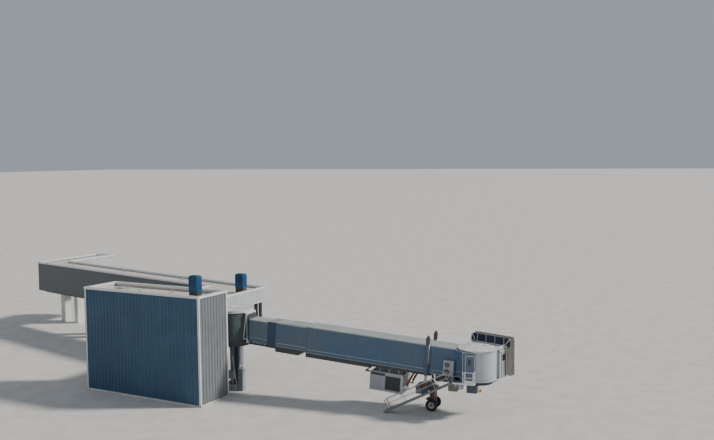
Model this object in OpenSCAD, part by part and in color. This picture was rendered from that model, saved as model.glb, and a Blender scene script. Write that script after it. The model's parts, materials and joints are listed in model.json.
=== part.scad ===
// Passenger boarding bridge: a fixed walkway on piers, a hub with a clad stair tower, a rotunda on its
// column, a telescoping tunnel in three sections, a lift with a steered wheel bogie and a turning cab.
// Every size is the real one in millimetres. The model is drawn at 1 to model_ratio.
// Z = 0 is the apron, the origin is the middle of the rotunda's column, and +X is the way the bridge reaches.

/* [Scale] */
// The model is one to this
model_ratio = 2; // [2, 10, 20]

/* [Tower] */
// Length of the clad tower, along X
tower_len = 15000; // [12000:100:17000]
// Width of the clad tower, along Y
tower_wid = 4500; // [4000:100:5200]
// Height of the tower to the top of its coping
tower_high = 10800; // [10200:100:12000]
// X of the tower's outer end face
tower_end_x = 1300; // [1000:50:1800]
// Y of the tower's back face, next to the hub
tower_back_y = -2600; // [-3000:50:-2500]
// Thickness of the clad walls
tower_wall = 220; // [160:10:300]
// Pitch of the upright ribs of the cladding
rib_pitch = 450; // [400:50:900]
// Depth of a rib
rib_deep = 60; // [30:5:90]
// Width of the coping flashing
coping_wid = 420; // [360:10:600]
// Depth of the coping's face
coping_face = 220; // [150:10:320]
// Depth of the roof deck below the top of the coping
deck_drop = 420; // [300:10:600]
// Width of the door at the tower's foot
tower_door_wid = 1100; // [900:50:1400]
// Height of the door at the tower's foot
tower_door_high = 2200; // [2000:50:2500]

/* [Walkway] */
// Level of the walkway's floor
walk_floor = 5500; // [5200:50:6000]
// Thickness of the floor slab
walk_slab = 210; // [200:10:400]
// Level of the top of the walkway's coping
walk_top = 9400; // [9200:50:10000]
// Thickness of the walkway's walls
walk_wall = 160; // [120:10:240]
// Clear height of the walkway
walk_clear = 3300; // [2800:50:3400]
// Thickness of the walkway's roof slab
walk_roof = 300; // [200:10:400]
// Outer width of the walkway
walk_wid = 3400; // [3000:50:4200]
// Turn of the long leg away from the X axis
leg_turn = 11.85; // [10:0.05:14]
// Length of the long leg along its near wall
leg_len = 44190; // [40000:10:45500]
// Length of the short leg to the terminal wall
short_len = 11400; // [9000:100:14000]
// Height of the walkway's coping
walk_coping = 200; // [120:10:300]
// Overhang of the walkway's coping
coping_over = 60; // [30:10:120]

/* [Hub] */
// X of the hub's face towards the bridge
hub_face_x = -1950; // [-2000:10:-1900]
// Length of the hub along X
hub_len = 6500; // [5500:100:8000]
// Y at which the long leg's near wall meets the hub's face
leg_near_y = 5120; // [4900:20:5400]

/* [Piers] */
// Size of a concrete pier along the walkway
pier_len = 1300; // [900:50:1600]
// Size of a concrete pier across the walkway
pier_wid = 700; // [500:50:900]

/* [Roof boxes] */
// Width of a roof box
box_wid = 1150; // [1000:50:1600]
// Height of a roof box
box_high = 2150; // [1800:50:2500]

/* [Rotunda] */
// Radius of the rotunda's floor and curtain
rot_r = 2050; // [1900:10:2200]
// Radius of the rotunda's column
column_r = 365; // [300:5:450]
// Level of the rotunda's ceiling
rot_ceiling = 8250; // [8000:50:8400]
// Thickness of the rotunda's roof
rot_roof = 220; // [150:10:300]
// Half angle of the opening for the tunnel
mouth_half = 28.87; // [28.87, 28.9, 29]
// Thickness of a curtain leaf
leaf = 40; // [30:5:60]

/* [Tunnels] */
// Turn of the bridge from the X axis as it is parked
swing_rest = 6.6; // [0:0.1:12]
// Slope of the parked bridge, down towards the cab
slope_rest = 4.2; // [2:0.1:5]
// Distance of the slope hinge from the rotunda's axis
hinge_s = 2250; // [2200:10:2400]
// Level of the slope hinge
hinge_z = 5170; // [5100:10:5300]
// Outer width of tunnel A
a_wid = 1720; // [1600:20:1900]
// Outer height of tunnel A
a_high = 2200; // [2100:10:2400]
// Length of tunnel A
a_len = 13400; // [12500:100:14500]
// Length of tunnel B
b_len = 13900; // [13000:100:14500]
// Length of tunnel C
c_len = 15300; // [14800:50:15400]
// Start of tunnel B, along the tunnel from the slope hinge
b_start = 3150; // [3000:50:4000]
// Start of tunnel C, along the tunnel from the slope hinge
c_start = 6550; // [6300:50:7000]
// Thickness of a tunnel's wall
tun_wall = 60; // [50:5:80]
// Gap between nested tunnels
tun_gap = 50; // [40:5:60]

/* [Lift] */
// Distance of the lift columns from the end of tunnel C
lift_back = 2700; // [2350:50:2850]
// Distance of a lift column from the tunnel's middle
lift_off = 1240; // [1230:5:1280]
// Side of a lift column's outer tube
lift_tube = 280; // [240:10:300]
// Wall of the lift tubes
lift_wall = 16; // [12:2:24]
// Radius of a wheel
wheel_r = 560; // [450:10:650]
// Width of a wheel
wheel_wid = 380; // [300:10:450]
// Track of the bogie's wheels
track = 1300; // [1200:20:1500]

/* [Cab] */
// Distance of the cab's axis from the end of tunnel C
cab_back = 1958.7; // [1900:0.1:2300]
// Radius of the cab's round wall
cab_r = 1750; // [1700:10:1900]
// Rise of the cab's floor above the underside of tunnel C at its end
cab_rise = 90.3; // [80:0.1:100]
// Height of the cab's round wall
cab_high = 2560; // [2450:10:2700]
// Turn of the cab from the tunnel's axis as it is parked
cab_rest = 68; // [60:1:70]
// Reach of the nose from the cab's axis
nose_reach = 2000; // [1950:10:2050]
// Outer width of the nose
nose_wid = 3500; // [3480:10:3520]
// Depth of the folding canopy
canopy_deep = 650; // [500:50:800]

/* [Hidden] */
$fn = 64;

// Levels of the hub and the walkway
walk_under = walk_floor - walk_slab;
walk_ceiling = walk_floor + walk_clear;
walk_wall_top = walk_top - walk_coping;

// The tower's box
tower_x0 = tower_end_x - tower_len;
tower_y0 = tower_back_y - tower_wid;
tower_wall_top = tower_high - coping_face;

// Places along tunnel C, from its end
c_end = c_start + c_len;
lift_s = c_end - lift_back;
cab_s = hinge_s + c_end * cos(slope_rest) + cab_back;
cab_floor_z = hinge_z - c_end * sin(slope_rest) + cab_rise;

module real_size() {
    scale(1 / model_ratio) children();
}

module slab(x0, x1, y0, y1, z0, z1) {
    translate([x0, y0, z0]) cube([x1 - x0, y1 - y0, z1 - z0]);
}

// Clad tower

// Outline of the clad wall, with trapezoid ribs on all four sides
function rib_run(length) = let(n = floor(length / rib_pitch), gap = length / n)
    [for (i = [0 : n - 1]) each [
        [gap * i + gap * 0.15, 0],
        [gap * i + gap * 0.3, -rib_deep],
        [gap * i + gap * 0.7, -rib_deep],
        [gap * i + gap * 0.85, 0]]];

module clad_outline() {
    along = rib_run(tower_len);
    across = rib_run(tower_wid);
    polygon(concat(
        [for (p = along) [p[0], p[1] + rib_deep]],
        [for (p = across) [tower_len - p[1] - rib_deep, p[0]]],
        [for (p = along) [tower_len - p[0], tower_wid - p[1] - rib_deep]],
        [for (p = across) [p[1] + rib_deep, tower_wid - p[0]]]));
}

door_y = tower_y0 + tower_wid / 2 - tower_door_wid / 2;
link_wid = 2400;
link_x1 = hub_face_x - 900;
link_high = 2200;
spare_y = 6500;
spare_wid = 1600;
sill_wid = 1400;

module tower_walls() {
    color([0.27, 0.33, 0.38])
    difference() {
        translate([tower_x0, tower_y0, 0]) linear_extrude(tower_wall_top) clad_outline();
        slab(tower_x0 + tower_wall, tower_end_x - tower_wall, tower_y0 + tower_wall,
            tower_back_y - tower_wall, -10, tower_wall_top + 10);
        slab(tower_x0 - 50, tower_x0 + tower_wall + 50, door_y, door_y + tower_door_wid, -10,
            tower_door_high);
        slab(tower_x0 - 50, tower_x0 + 61, door_y - 80, door_y + tower_door_wid + 80, -10,
            tower_door_high + 80);
        slab(link_x1 - link_wid, link_x1, tower_back_y - tower_wall - 50, tower_back_y + 50, walk_floor,
            walk_floor + link_high);
    }
}

module tower_roof() {
    deck = 200;
    color([0.66, 0.62, 0.57])
    slab(tower_x0 + tower_wall, tower_end_x - tower_wall, tower_y0 + tower_wall,
        tower_back_y - tower_wall, tower_high - deck_drop - deck, tower_high - deck_drop);
}

module tower_coping() {
    over = 60;
    color([0.74, 0.74, 0.71])
    difference() {
        slab(tower_x0 - over, tower_end_x + over, tower_y0 - over, tower_back_y - 10, tower_wall_top,
            tower_high);
        slab(tower_x0 + coping_wid - over, tower_end_x - coping_wid + over, tower_y0 + coping_wid - over,
            tower_back_y - coping_wid, tower_wall_top - 10, tower_high + 10);
    }
}

// A door leaf with its hinge knuckles, drawn from the hinge pin, closed along +X with its back towards +Y
module door_leaf(wid, high) {
    seat = 0.6;
    clear = 12;
    pin = 22;
    slab(seat, wid - clear, pin + 5, pin + 60, clear, high - clear);
    for (z = [high * 0.12, high * 0.5 - 60, high * 0.88 - 120]) {
        translate([0, 0, z]) cylinder(r = 16, h = 120, $fn = 32);
        slab(0.6, 70, 8, pin + 6, z, z + 120);
    }
}

module tower_door() {
    color([0.55, 0.58, 0.6])
    translate([tower_x0 + 60 - 22, door_y, 0]) rotate([0, 0, 90]) mirror([0, 1, 0])
        door_leaf(tower_door_wid, tower_door_high);
}

// Walkway and hub

leg_dir = [-cos(leg_turn), sin(leg_turn)];
leg_nrm = [sin(leg_turn), cos(leg_turn)];
hub_x0 = hub_face_x - hub_len;
near_start = [hub_face_x, leg_near_y];
near_corner = near_start + leg_len * leg_dir;
hub_near = near_start + hub_len / cos(leg_turn) * leg_dir;
hub_far = hub_near + [0, walk_wid / cos(leg_turn)];
hub_back = near_start + [0, walk_wid / cos(leg_turn)];
inner_corner = [near_corner[0] + walk_wid, near_corner[1]
    + (walk_wid / cos(leg_turn)) - walk_wid * tan(leg_turn)];
short_end_y = near_corner[1] + short_len;

// Plan of the whole fixed walkway, moved in by an inset
module walk_plan(inset = 0) {
    offset(delta = -inset) polygon([
        [hub_face_x, tower_back_y],
        hub_back,
        inner_corner,
        [inner_corner[0], short_end_y],
        [near_corner[0], short_end_y],
        near_corner,
        hub_near,
        [hub_x0, tower_back_y]]);
}

module upright(points, z0, z1) {
    translate([0, 0, z0]) linear_extrude(z1 - z0) polygon(points);
}

module walkway_near_wall() {
    color([0.3, 0.33, 0.34])
    upright([hub_near, near_corner, [near_corner[0], short_end_y],
        [near_corner[0] + walk_wall, short_end_y],
        [near_corner[0] + walk_wall, near_corner[1] + walk_wall / cos(leg_turn) - walk_wall * tan(leg_turn)],
        [hub_near[0], hub_near[1] + walk_wall / cos(leg_turn)]], walk_under, walk_wall_top);
}

module walkway_far_wall() {
    color([0.62, 0.61, 0.58])
    upright([hub_far, inner_corner, [inner_corner[0], short_end_y],
        [inner_corner[0] - walk_wall, short_end_y],
        [inner_corner[0] - walk_wall,
            inner_corner[1] - walk_wall / cos(leg_turn) + walk_wall * tan(leg_turn)],
        [hub_far[0], hub_far[1] - walk_wall / cos(leg_turn)]], walk_under, walk_wall_top);
}

module hub_walls() {
    clear = 30.6;
    color([0.66, 0.66, 0.64])
    difference() {
        upright([[hub_face_x, tower_back_y + 0.3], hub_back, hub_far,
            [hub_far[0], hub_far[1] - walk_wall / cos(leg_turn)],
            [hub_face_x - walk_wall, hub_back[1] - walk_wall / cos(leg_turn) + walk_wall * tan(leg_turn)],
            [hub_face_x - walk_wall, tower_back_y + 0.3 + walk_wall],
            [hub_x0 + walk_wall, tower_back_y + 0.3 + walk_wall],
            [hub_x0 + walk_wall, hub_near[1] - walk_wall * tan(leg_turn)],
            hub_near,
            [hub_x0, tower_back_y + 0.3]], walk_under, walk_wall_top);
        translate([0, 0, walk_under - 10])
            cylinder(r = rot_r + leaf + clear, h = rot_ceiling + rot_roof + clear + 10 - walk_under, $fn = 96);
        slab(hub_face_x - walk_wall - 50, hub_face_x + 50, -sill_wid / 2 - 0.6, sill_wid / 2 + 0.6,
            walk_floor - 100.6, rot_ceiling - 100);
        slab(link_x1 - link_wid, link_x1, tower_back_y - 50, tower_back_y + walk_wall + 50, walk_floor,
            walk_floor + link_high);
        slab(hub_face_x - walk_wall - 50, hub_face_x + 50, spare_y, spare_y + spare_wid, walk_floor,
            walk_floor + link_high);
    }
}

module walkway_floor() {
    color([0.45, 0.45, 0.44])
    translate([0, 0, walk_under]) linear_extrude(walk_slab) walk_plan(walk_wall + 0.5);
}

module walkway_roof() {
    color([0.6, 0.58, 0.55])
    translate([0, 0, walk_ceiling]) linear_extrude(walk_roof) walk_plan(walk_wall + 0.5);
}

module walkway_coping() {
    color([0.76, 0.75, 0.72])
    translate([0, 0, walk_wall_top]) linear_extrude(walk_coping) difference() {
        walk_plan(-coping_over);
        walk_plan(walk_wall + coping_over);
        translate([tower_x0 - 500, tower_back_y - 2000]) square([tower_len + 1000, 2010]);
    }
}

pier_place = [0.72, 0.36];

module pier_pair(middle, turn) {
    for (side = [-1, 1])
        translate([middle[0], middle[1], 0]) rotate([0, 0, turn])
            translate([-pier_len / 2, side * (walk_wid / 2 - pier_wid / 2) - pier_wid / 2, 0])
                cube([pier_len, pier_wid, walk_under - 0.6]);
}

module walkway_piers() {
    color([0.66, 0.65, 0.6]) {
        pier_pair([near_corner[0] + walk_wid / 2, near_corner[1] + 4600], 90);
        for (share = pier_place)
            pier_pair(near_start + share * leg_len * leg_dir + walk_wid / 2 * leg_nrm, -leg_turn);
        pier_pair([hub_x0 + walk_wid / 2 + 200, tower_back_y + 2600], 90);
    }
}

// Roof boxes

module rounded_box(wid, deep, high, round) {
    linear_extrude(high) offset(r = round, $fn = 24) square([wid - 2 * round, deep - 2 * round], center = true);
}

module roof_box(x, y, z) {
    plinth = 200;
    color([0.02, 0.27, 0.42])
    translate([x, y, z]) {
        translate([0, 0, plinth]) rounded_box(box_wid, box_wid * 0.8, box_high - plinth, 200);
        translate([-box_wid * 0.42, -box_wid * 0.34, 0]) cube([box_wid * 0.84, box_wid * 0.68, plinth]);
    }
}

module roof_box_tower() {
    roof_box(-540, tower_y0 + 1850, tower_high - deck_drop);
}

module roof_box_hub() {
    roof_box(-2760, 5300, walk_ceiling + walk_roof);
}

// Rotunda

base_high = 550;
drum_under = walk_floor - 700;

module rotunda_base() {
    color([0.66, 0.65, 0.6])
    translate([-700, -700, 0]) cube([1400, 1400, base_high]);
}

module rotunda_column() {
    color([0.42, 0.44, 0.46])
    difference() {
        union() {
            translate([0, 0, base_high]) cylinder(r = column_r, h = drum_under - base_high);
            translate([0, 0, base_high]) cylinder(r = column_r + 180, h = 50);
            translate([0, 0, drum_under - 300]) cylinder(r1 = column_r, r2 = column_r + 500, h = 300);
        }
        translate([0, 0, base_high - 10]) cylinder(r = column_r - 25, h = drum_under - base_high + 20);
    }
}

module rotunda_floor() {
    color([0.25, 0.27, 0.28]) {
        translate([0, 0, drum_under]) cylinder(r = rot_r - 80, h = walk_floor - drum_under, $fn = 96);
        slab(hub_face_x - walk_wall, -1500, -sill_wid / 2, sill_wid / 2, walk_floor - 100, walk_floor);
    }
}

module rotunda_roof() {
    color([0.74, 0.74, 0.72])
    translate([0, 0, rot_ceiling]) cylinder(r = rot_r + leaf + 30, h = rot_roof, $fn = 96);
}

module arc_wall(r, thick, from, to, z0, z1) {
    translate([0, 0, z0]) rotate([0, 0, from])
        rotate_extrude(angle = to - from, $fn = 96) translate([r, 0]) square([thick, z1 - z0]);
}

module rotunda_curtains() {
    color([0.2, 0.25, 0.24]) {
        arc_wall(rot_r, leaf, 66, 156, walk_under, rot_ceiling - 0.6);
        arc_wall(rot_r, leaf, 204, 307, walk_under, rot_ceiling - 0.6);
    }
}

module swing_curtains() {
    color([0.2, 0.25, 0.24])
    rotate([0, 0, swing_rest]) {
        arc_wall(rot_r - leaf - 20, leaf, mouth_half, 92, walk_floor + 12, rot_ceiling - 12);
        arc_wall(rot_r - leaf - 20, leaf, 268, 360 - mouth_half, walk_floor + 12, rot_ceiling - 12);
    }
}

// The frame that turns on the rotunda's floor, with the arms and pins of the slope hinge under it
module swing_frame() {
    half = a_wid / 2 + 100;
    color([0.72, 0.73, 0.72])
    rotate([0, 0, swing_rest]) {
        difference() {
            slab(1500, hinge_s - 60, -half, half, walk_floor + 0.6, rot_ceiling - 12);
            slab(1400, hinge_s, -a_wid / 2 + 60, a_wid / 2 - 60, walk_floor + 61, rot_ceiling - 180);
        }
        for (side = [-1, 1]) {
            slab(2010, hinge_s + 70, side * 740 - 40, side * 740 + 40, hinge_z - 70, hinge_z + 70);
            slab(2010, hinge_s - 70, side * 740 - 40, side * 740 + 40, hinge_z - 70, walk_floor + 50);
            translate([hinge_s, side * 740, hinge_z]) rotate([side * -90, 0, 0]) translate([0, 0, -180])
                cylinder(r = 45, h = 200);
        }
    }
}

// Tunnels

module on_tunnel() {
    rotate([0, 0, swing_rest]) translate([hinge_s, 0, hinge_z]) rotate([0, slope_rest, 0]) children();
}

nest = tun_wall + tun_gap;
a_low = 2 * nest;
b_wid = a_wid + 2 * nest;
c_wid = b_wid + 2 * nest;
b_high = a_high + 2 * nest;
c_high = b_high + 2 * nest;

module tube_section(x0, len, wid, low, high) {
    difference() {
        slab(x0, x0 + len, -wid / 2, wid / 2, low, low + high);
        slab(x0 - 10, x0 + len + 10, -wid / 2 + tun_wall, wid / 2 - tun_wall, low + tun_wall,
            low + high - tun_wall);
    }
}

module tunnel_a() {
    color([0.3, 0.33, 0.36])
    on_tunnel() {
        tube_section(20, a_len + 100, a_wid, a_low, a_high);
        shoes(a_len - 300, a_wid / 2, a_low, a_high);
        for (side = [-1, 1])
            difference() {
                slab(-75, 220, side * 625 - 55, side * 625 + 55, -75, a_low + 20);
                translate([0, side * 625, 0]) rotate([90, 0, 0]) cylinder(r = 45.4, h = 200, center = true);
            }
    }
}

// Slide shoes at the far end of the tube inside, standing out from its wall to the next tube
module shoes(x, half, low, high) {
    for (z = [low + 150, low + high - 450])
        for (side = [-1, 1])
            slab(x, x + 300, side > 0 ? half - 1 : -half - tun_gap + 0.6,
                side > 0 ? half + tun_gap - 0.6 : -half + 1, z, z + 300);
}

module tunnel_b() {
    color([0.3, 0.33, 0.36])
    on_tunnel() {
        tube_section(b_start, b_len, b_wid, nest, b_high);
        shoes(b_start + b_len - 400, b_wid / 2, nest, b_high);
    }
}

module tunnel_c() {
    color([0.3, 0.33, 0.36])
    on_tunnel() tube_section(c_start, c_len, c_wid, 0, c_high);
}

// Vestibule between tunnel C and the cab, level, with the service door in its flat near wall
ves_x0 = -cab_back - 40;
ves_high = cab_high - 50;
ves_near = 1885;
ring_cut = 1800;
door_wid = 780;
door_high = 2050;
door_x1 = 100;
ves_plan = [[ves_x0, -c_wid / 2], [-1000, -ves_near], [200, -ves_near], [200, -1500], [-900, 0],
    [-1300, c_wid / 2], [ves_x0, c_wid / 2]];
ves_inner = [[ves_x0 - 300, -c_wid / 2], [ves_x0, -c_wid / 2], [-1000, -ves_near], [300, -ves_near],
    [300, c_wid / 2], [ves_x0 - 300, c_wid / 2]];

module vestibule() {
    color([0.7, 0.72, 0.74])
    difference() {
        at_cab(0) translate([0, 0, 20]) linear_extrude(ves_high - 20) polygon(ves_plan);
        at_cab(0) translate([0, 0, 80]) linear_extrude(ves_high - 140) offset(delta = -84) polygon(ves_inner);
        at_cab(0) translate([0, 0, -100]) cylinder(r = ring_cut, h = 3000, $fn = 96);
        at_cab(0) slab(door_x1 - door_wid, door_x1, -ves_near - 50, -ves_near + 150, 80, 80 + door_high);
        on_tunnel() slab(c_end - 2000, c_end + 0.6, -3000, 3000, -3000, 5000);
    }
}

// Fixed curtains of the cab, just outside the leaves that turn with it
module cab_curtains() {
    color([0.7, 0.71, 0.7])
    at_cab(0) {
        arc_wall(ring_cut - 30.6, 30, 270, 316, 22, ves_high);
        arc_wall(ring_cut - 30.6, 30, 131.5, 146, 82, ves_high - 62);
    }
}

module cable_tray() {
    color([0.12, 0.13, 0.14])
    on_tunnel() slab(c_start + 200, c_end - 2350, -c_wid / 2 + 120, c_wid / 2 - 120, -300, -0.6);
}

// Lift

lift_top = c_high + 700;
lift_low = -250;
beam_top = 2350;
beam_high = 400;
lift_z = hinge_z - lift_s * sin(slope_rest);
tube_low = (beam_top + 530 - lift_z) / cos(slope_rest);
rod_low = (beam_top - 278 - lift_z) / cos(slope_rest);

module lift_saddle() {
    color([0.2, 0.21, 0.22])
    on_tunnel() for (side = [-1, 1])
        for (z = [200, c_high - 500])
            slab(lift_s - lift_tube / 2, lift_s + lift_tube / 2,
                side < 0 ? -lift_off + lift_tube / 2 + 0.3 : c_wid / 2 + 0.3,
                side < 0 ? -c_wid / 2 - 0.3 : lift_off - lift_tube / 2 - 0.3, z, z + 300);
}

module square_tube(x, y, side, wall, z0, z1, cap) {
    difference() {
        slab(x - side / 2, x + side / 2, y - side / 2, y + side / 2, z0, z1);
        slab(x - side / 2 + wall, x + side / 2 - wall, y - side / 2 + wall, y + side / 2 - wall,
            z0 - 10, z1 - cap);
    }
}

module lift_columns() {
    color([0.26, 0.3, 0.36])
    on_tunnel() for (side = [-1, 1])
        square_tube(lift_s, side * lift_off, lift_tube, lift_wall, lift_low, lift_top, lift_wall);
}

leg_side = lift_tube - 2 * lift_wall - 1.2;

module lift_legs() {
    color([0.6, 0.62, 0.63])
    on_tunnel() for (side = [-1, 1])
        square_tube(lift_s, side * lift_off, leg_side, lift_wall, tube_low, 1500, lift_wall);
}

rod_side = leg_side - 2 * lift_wall - 1.2;
beam_s = hinge_s + lift_s * cos(slope_rest) - 1620 * sin(slope_rest);
bogie_s = beam_s + 450;
disc_z = beam_top - beam_high - 60;

// Level beam between the legs, with the drive box behind it and the turntable under it
module lift_beam() {
    color([0.3, 0.16, 0.13]) {
        on_tunnel() for (side = [-1, 1])
            slab(lift_s - rod_side / 2, lift_s + rod_side / 2, side * lift_off - rod_side / 2,
                side * lift_off + rod_side / 2, rod_low, -300);
        rotate([0, 0, swing_rest]) {
            slab(beam_s - 220, beam_s + 220, -lift_off - 130, lift_off + 130, beam_top - beam_high, beam_top);
            slab(beam_s - 220, beam_s + 860, -480, 480, beam_top - beam_high, beam_top - 60);
            slab(beam_s - 1080, beam_s - 219, -700, 700, beam_top - 780, beam_top);
        }
        at_bogie() translate([0, 0, disc_z]) cylinder(r = 380, h = 61);
    }
}

// Bogie: its wheels rest on the apron
module at_bogie() {
    rotate([0, 0, swing_rest]) translate([bogie_s, 0, 0]) children();
}

module bogie_frame() {
    inner = track / 2 - wheel_wid / 2 - 30;
    color([0.3, 0.16, 0.13])
    at_bogie() {
        slab(-250, 250, -inner, inner, wheel_r - 160, disc_z - 60);
        translate([0, 0, disc_z - 61]) cylinder(r = 380, h = 60.4);
        translate([0, 0, wheel_r]) rotate([90, 0, 0]) cylinder(r = 90, h = track + wheel_wid - 60, center = true);
        translate([0, 0, wheel_r]) rotate([90, 0, 0]) cylinder(r = 150, h = 2 * inner + 59, center = true);
    }
}

module wheel(side) {
    color([0.09, 0.09, 0.09])
    at_bogie() translate([0, side * track / 2, wheel_r]) rotate([90, 0, 0]) difference() {
        cylinder(r = wheel_r, h = wheel_wid, center = true, $fn = 72);
        cylinder(r = 90.4, h = wheel_wid + 20, center = true, $fn = 72);
    }
}

module wheel_near() {
    wheel(-1);
}

module wheel_far() {
    wheel(1);
}

// Hung cabinet and cooling unit

cab_box_x = c_end - 8300;
cab_box_len = 3300;
cab_box_high = 1740;
hang_drop = 420;

// The hung cabinet with its hangers
module cabinet() {
    color([0.5, 0.5, 0.52])
    on_tunnel() {
        slab(cab_box_x, cab_box_x + cab_box_len, -c_wid / 2 + 20, c_wid / 2 - 20,
            -300 - hang_drop - cab_box_high, -300 - hang_drop);
        for (x = [850, 1800, 2750])
            for (y = [-c_wid / 2 + 220, c_wid / 2 - 300])
                slab(cab_box_x + x, cab_box_x + x + 90, y, y + 80, -301 - hang_drop, -300.6);
    }
}

module cooling_unit() {
    color([0.62, 0.65, 0.67])
    on_tunnel() slab(c_end - 1050, c_end - 60, -c_wid / 2 - 350, -c_wid / 2 - 0.6, 120, 1520);
}

// Landing and stair

land_x0 = -1700;
land_x1 = 300;
land_y0 = -2760;
land_z = -200;
pivot_x = -1800;
pivot_z = -260;

module landing() {
    rail = 50;
    top = land_z + 1100;
    color([0.7, 0.71, 0.72])
    at_cab(0) {
        slab(land_x0, land_x1, land_y0, -ves_near - 20, land_z - 80, land_z);
        for (x = [-1500, -1000]) {
            slab(x, x + 100, land_y0 + 60, -1100.6, -560, -400);
            slab(x, x + 100, land_y0 + 60, land_y0 + 160, -401, land_z - 79);
            slab(x, x + 100, -2010, -1910, -401, land_z - 79);
        }
        slab(-690, 90, -2180, -ves_near - 5, land_z - 1, land_z + 130);
        for (x = [land_x0, -760, land_x1 - rail])
            slab(x, x + rail, land_y0, land_y0 + rail, land_z - 1, top);
        slab(land_x1 - rail, land_x1, -2300, -2300 + rail, land_z - 1, top);
        for (z = [top - 500, top - 50]) {
            slab(land_x0, land_x1, land_y0, land_y0 + rail, z, z + rail);
            slab(land_x1 - rail, land_x1, land_y0, -2300 + rail, z, z + rail);
        }
        slab(-710, 249, land_y0 + 10, land_y0 + 40, land_z - 1, top - 49);
        for (y = [-2640, -2250]) {
            slab(pivot_x - 60, land_x0 + 100, y - 25, y + 25, pivot_z - 60, land_z - 79);
            slab(pivot_x - 60, land_x0 + 20, y - 25, y + 25, pivot_z - 60, pivot_z + 60);
        }
        translate([pivot_x, -2085, pivot_z]) rotate([90, 0, 0]) cylinder(r = 25, h = 660);
    }
}

stair_slope = 27;
foot_r = 108;
stair_len = (cab_floor_z + pivot_z - foot_r - 0.6) / sin(stair_slope);
stair_y = -2740;
stair_wid = 640;

module on_stair() {
    at_cab(0) translate([pivot_x, stair_y, pivot_z]) rotate([0, -stair_slope, 0]) children();
}

// Service stair: stringers on a pivot pin, treads, handrails and two rollers at the foot
module service_stair() {
    color([0.2, 0.21, 0.22])
    on_stair() {
        for (y = [0, stair_wid - 50])
            difference() {
                slab(-stair_len - 60, 62, y, y + 50, -90, 90);
                translate([0, y - 10, 0]) rotate([-90, 0, 0]) cylinder(r = 25.4, h = 70);
            }
        for (i = [1 : 13])
            translate([-i * stair_len * 0.0731, 49, 0]) rotate([0, stair_slope, 0]) slab(-120, 120, 0, stair_wid - 98, -15, 15);
        for (y = [0, stair_wid - 40]) {
            slab(-stair_len + 500, -150, y, y + 40, 1000, 1040);
            for (x = [-stair_len + 500, -stair_len * 0.698, -stair_len * 0.465, -stair_len * 0.232, -190])
                slab(x, x + 40, y, y + 40, 89, 1001);
        }
        for (y = [-1, stair_wid + 1])
            translate([-stair_len, y, 0]) rotate([y < 0 ? 90 : -90, 0, 0]) translate([0, 0, -2])
                cylinder(r = foot_r, h = 62);
    }
}

// Cab: its floor lies level as it is parked
module at_cab(turn = cab_rest) {
    rotate([0, 0, swing_rest]) translate([cab_s, 0, cab_floor_z]) rotate([0, 0, turn]) children();
}

cab_slab = 360;
nose_slab = 200;

module cab_ring() {
    color([0.2, 0.21, 0.22])
    difference() {
        at_cab(0) {
            translate([0, 0, -620]) cylinder(r = cab_r - 350, h = 259.4, $fn = 96);
            slab(-3800, -900, -1100, 1100, -620, -375);
            for (y = [-1100, 900])
                slab(-3800, ves_x0 + 30, y, y + 200, -621, 400);
            slab(ves_x0 - 100, -1900, -1100, 1100, -380, 19.4);
        }
        on_tunnel() slab(0, 30000, -2500, 2500, -0.6, 3000);
    }
}

module cab_floor() {
    color([0.3, 0.31, 0.32])
    at_cab() {
        translate([0, 0, -cab_slab]) cylinder(r = cab_r, h = cab_slab, $fn = 96);
        slab(800, nose_reach, -nose_wid / 2 + 85, nose_wid / 2 - 85, -nose_slab, 0);
    }
}

module cab_wall() {
    color([0.74, 0.75, 0.75])
    at_cab() {
        arc_wall(cab_r - 60, 60, 53, 110, 0.6, cab_high - 0.6);
        arc_wall(cab_r - 60, 60, 236, 296, 0.6, cab_high - 0.6);
    }
}

module cab_roof() {
    color([0.78, 0.78, 0.75])
    at_cab() {
        translate([0, 0, cab_high]) cylinder(r = cab_r + 110, h = 90, $fn = 96);
        translate([0, 0, cab_high + 89]) cylinder(r1 = cab_r + 60, r2 = 700, h = 170, $fn = 96);
        slab(780, nose_reach, -nose_wid / 2, nose_wid / 2, cab_high, cab_high + 130);
    }
}

// Side panels of the nose, with a return at the back edge and the runners of the hoop
module cab_nose() {
    half = nose_wid / 2;
    color([0.74, 0.75, 0.75])
    at_cab() {
        slab(780, nose_reach, -half, -half + 80, -nose_slab, cab_high - 0.6);
        slab(780, 840, -half + 79, -1580, 0.6, cab_high - 0.6);
        slab(1120, nose_reach, half - 80, half, -nose_slab, cab_high - 0.6);
        slab(1060, 1121, 1400, half, 0.6, cab_high - 0.6);
        for (side = [-1, 1])
            slab(1250, 1450, side > 0 ? half - 1 : -half - 14.4, side > 0 ? half + 14.4 : -half + 1, 2290, 2370);
    }
}

module canopy() {
    half = nose_wid / 2;
    color([0.06, 0.08, 0.16])
    at_cab() difference() {
        slab(nose_reach + 0.6, nose_reach + canopy_deep, -half - 500, half + 500, -100, cab_high + 920);
        slab(nose_reach - 10, nose_reach + canopy_deep + 10, -half - 80, half + 80, -210, cab_high + 160);
    }
}

module canopy_hoop() {
    half = nose_wid / 2;
    front = nose_reach + canopy_deep;
    color([0.85, 0.86, 0.86])
    at_cab() {
        difference() {
            slab(front + 0.6, front + 90, -half - 500, half + 500, -100, cab_high + 920);
            slab(front - 10, front + 100, -half - 400, half + 400, -210, cab_high + 820);
        }
        for (side = [-1, 1]) {
            slab(1000, front + 60, side > 0 ? half + 15 : -half - 65, side > 0 ? half + 65 : -half - 15, 2290, 2370);
            slab(front + 1, front + 60, side > 0 ? half + 15 : -half - 401, side > 0 ? half + 401 : -half - 15,
                2290, 2370);
        }
    }
}

module cab_door() {
    color([0.45, 0.47, 0.55])
    at_cab(0) translate([door_x1, -ves_near - 22, 80]) mirror([1, 0, 0]) door_leaf(door_wid, door_high);
}

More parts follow.
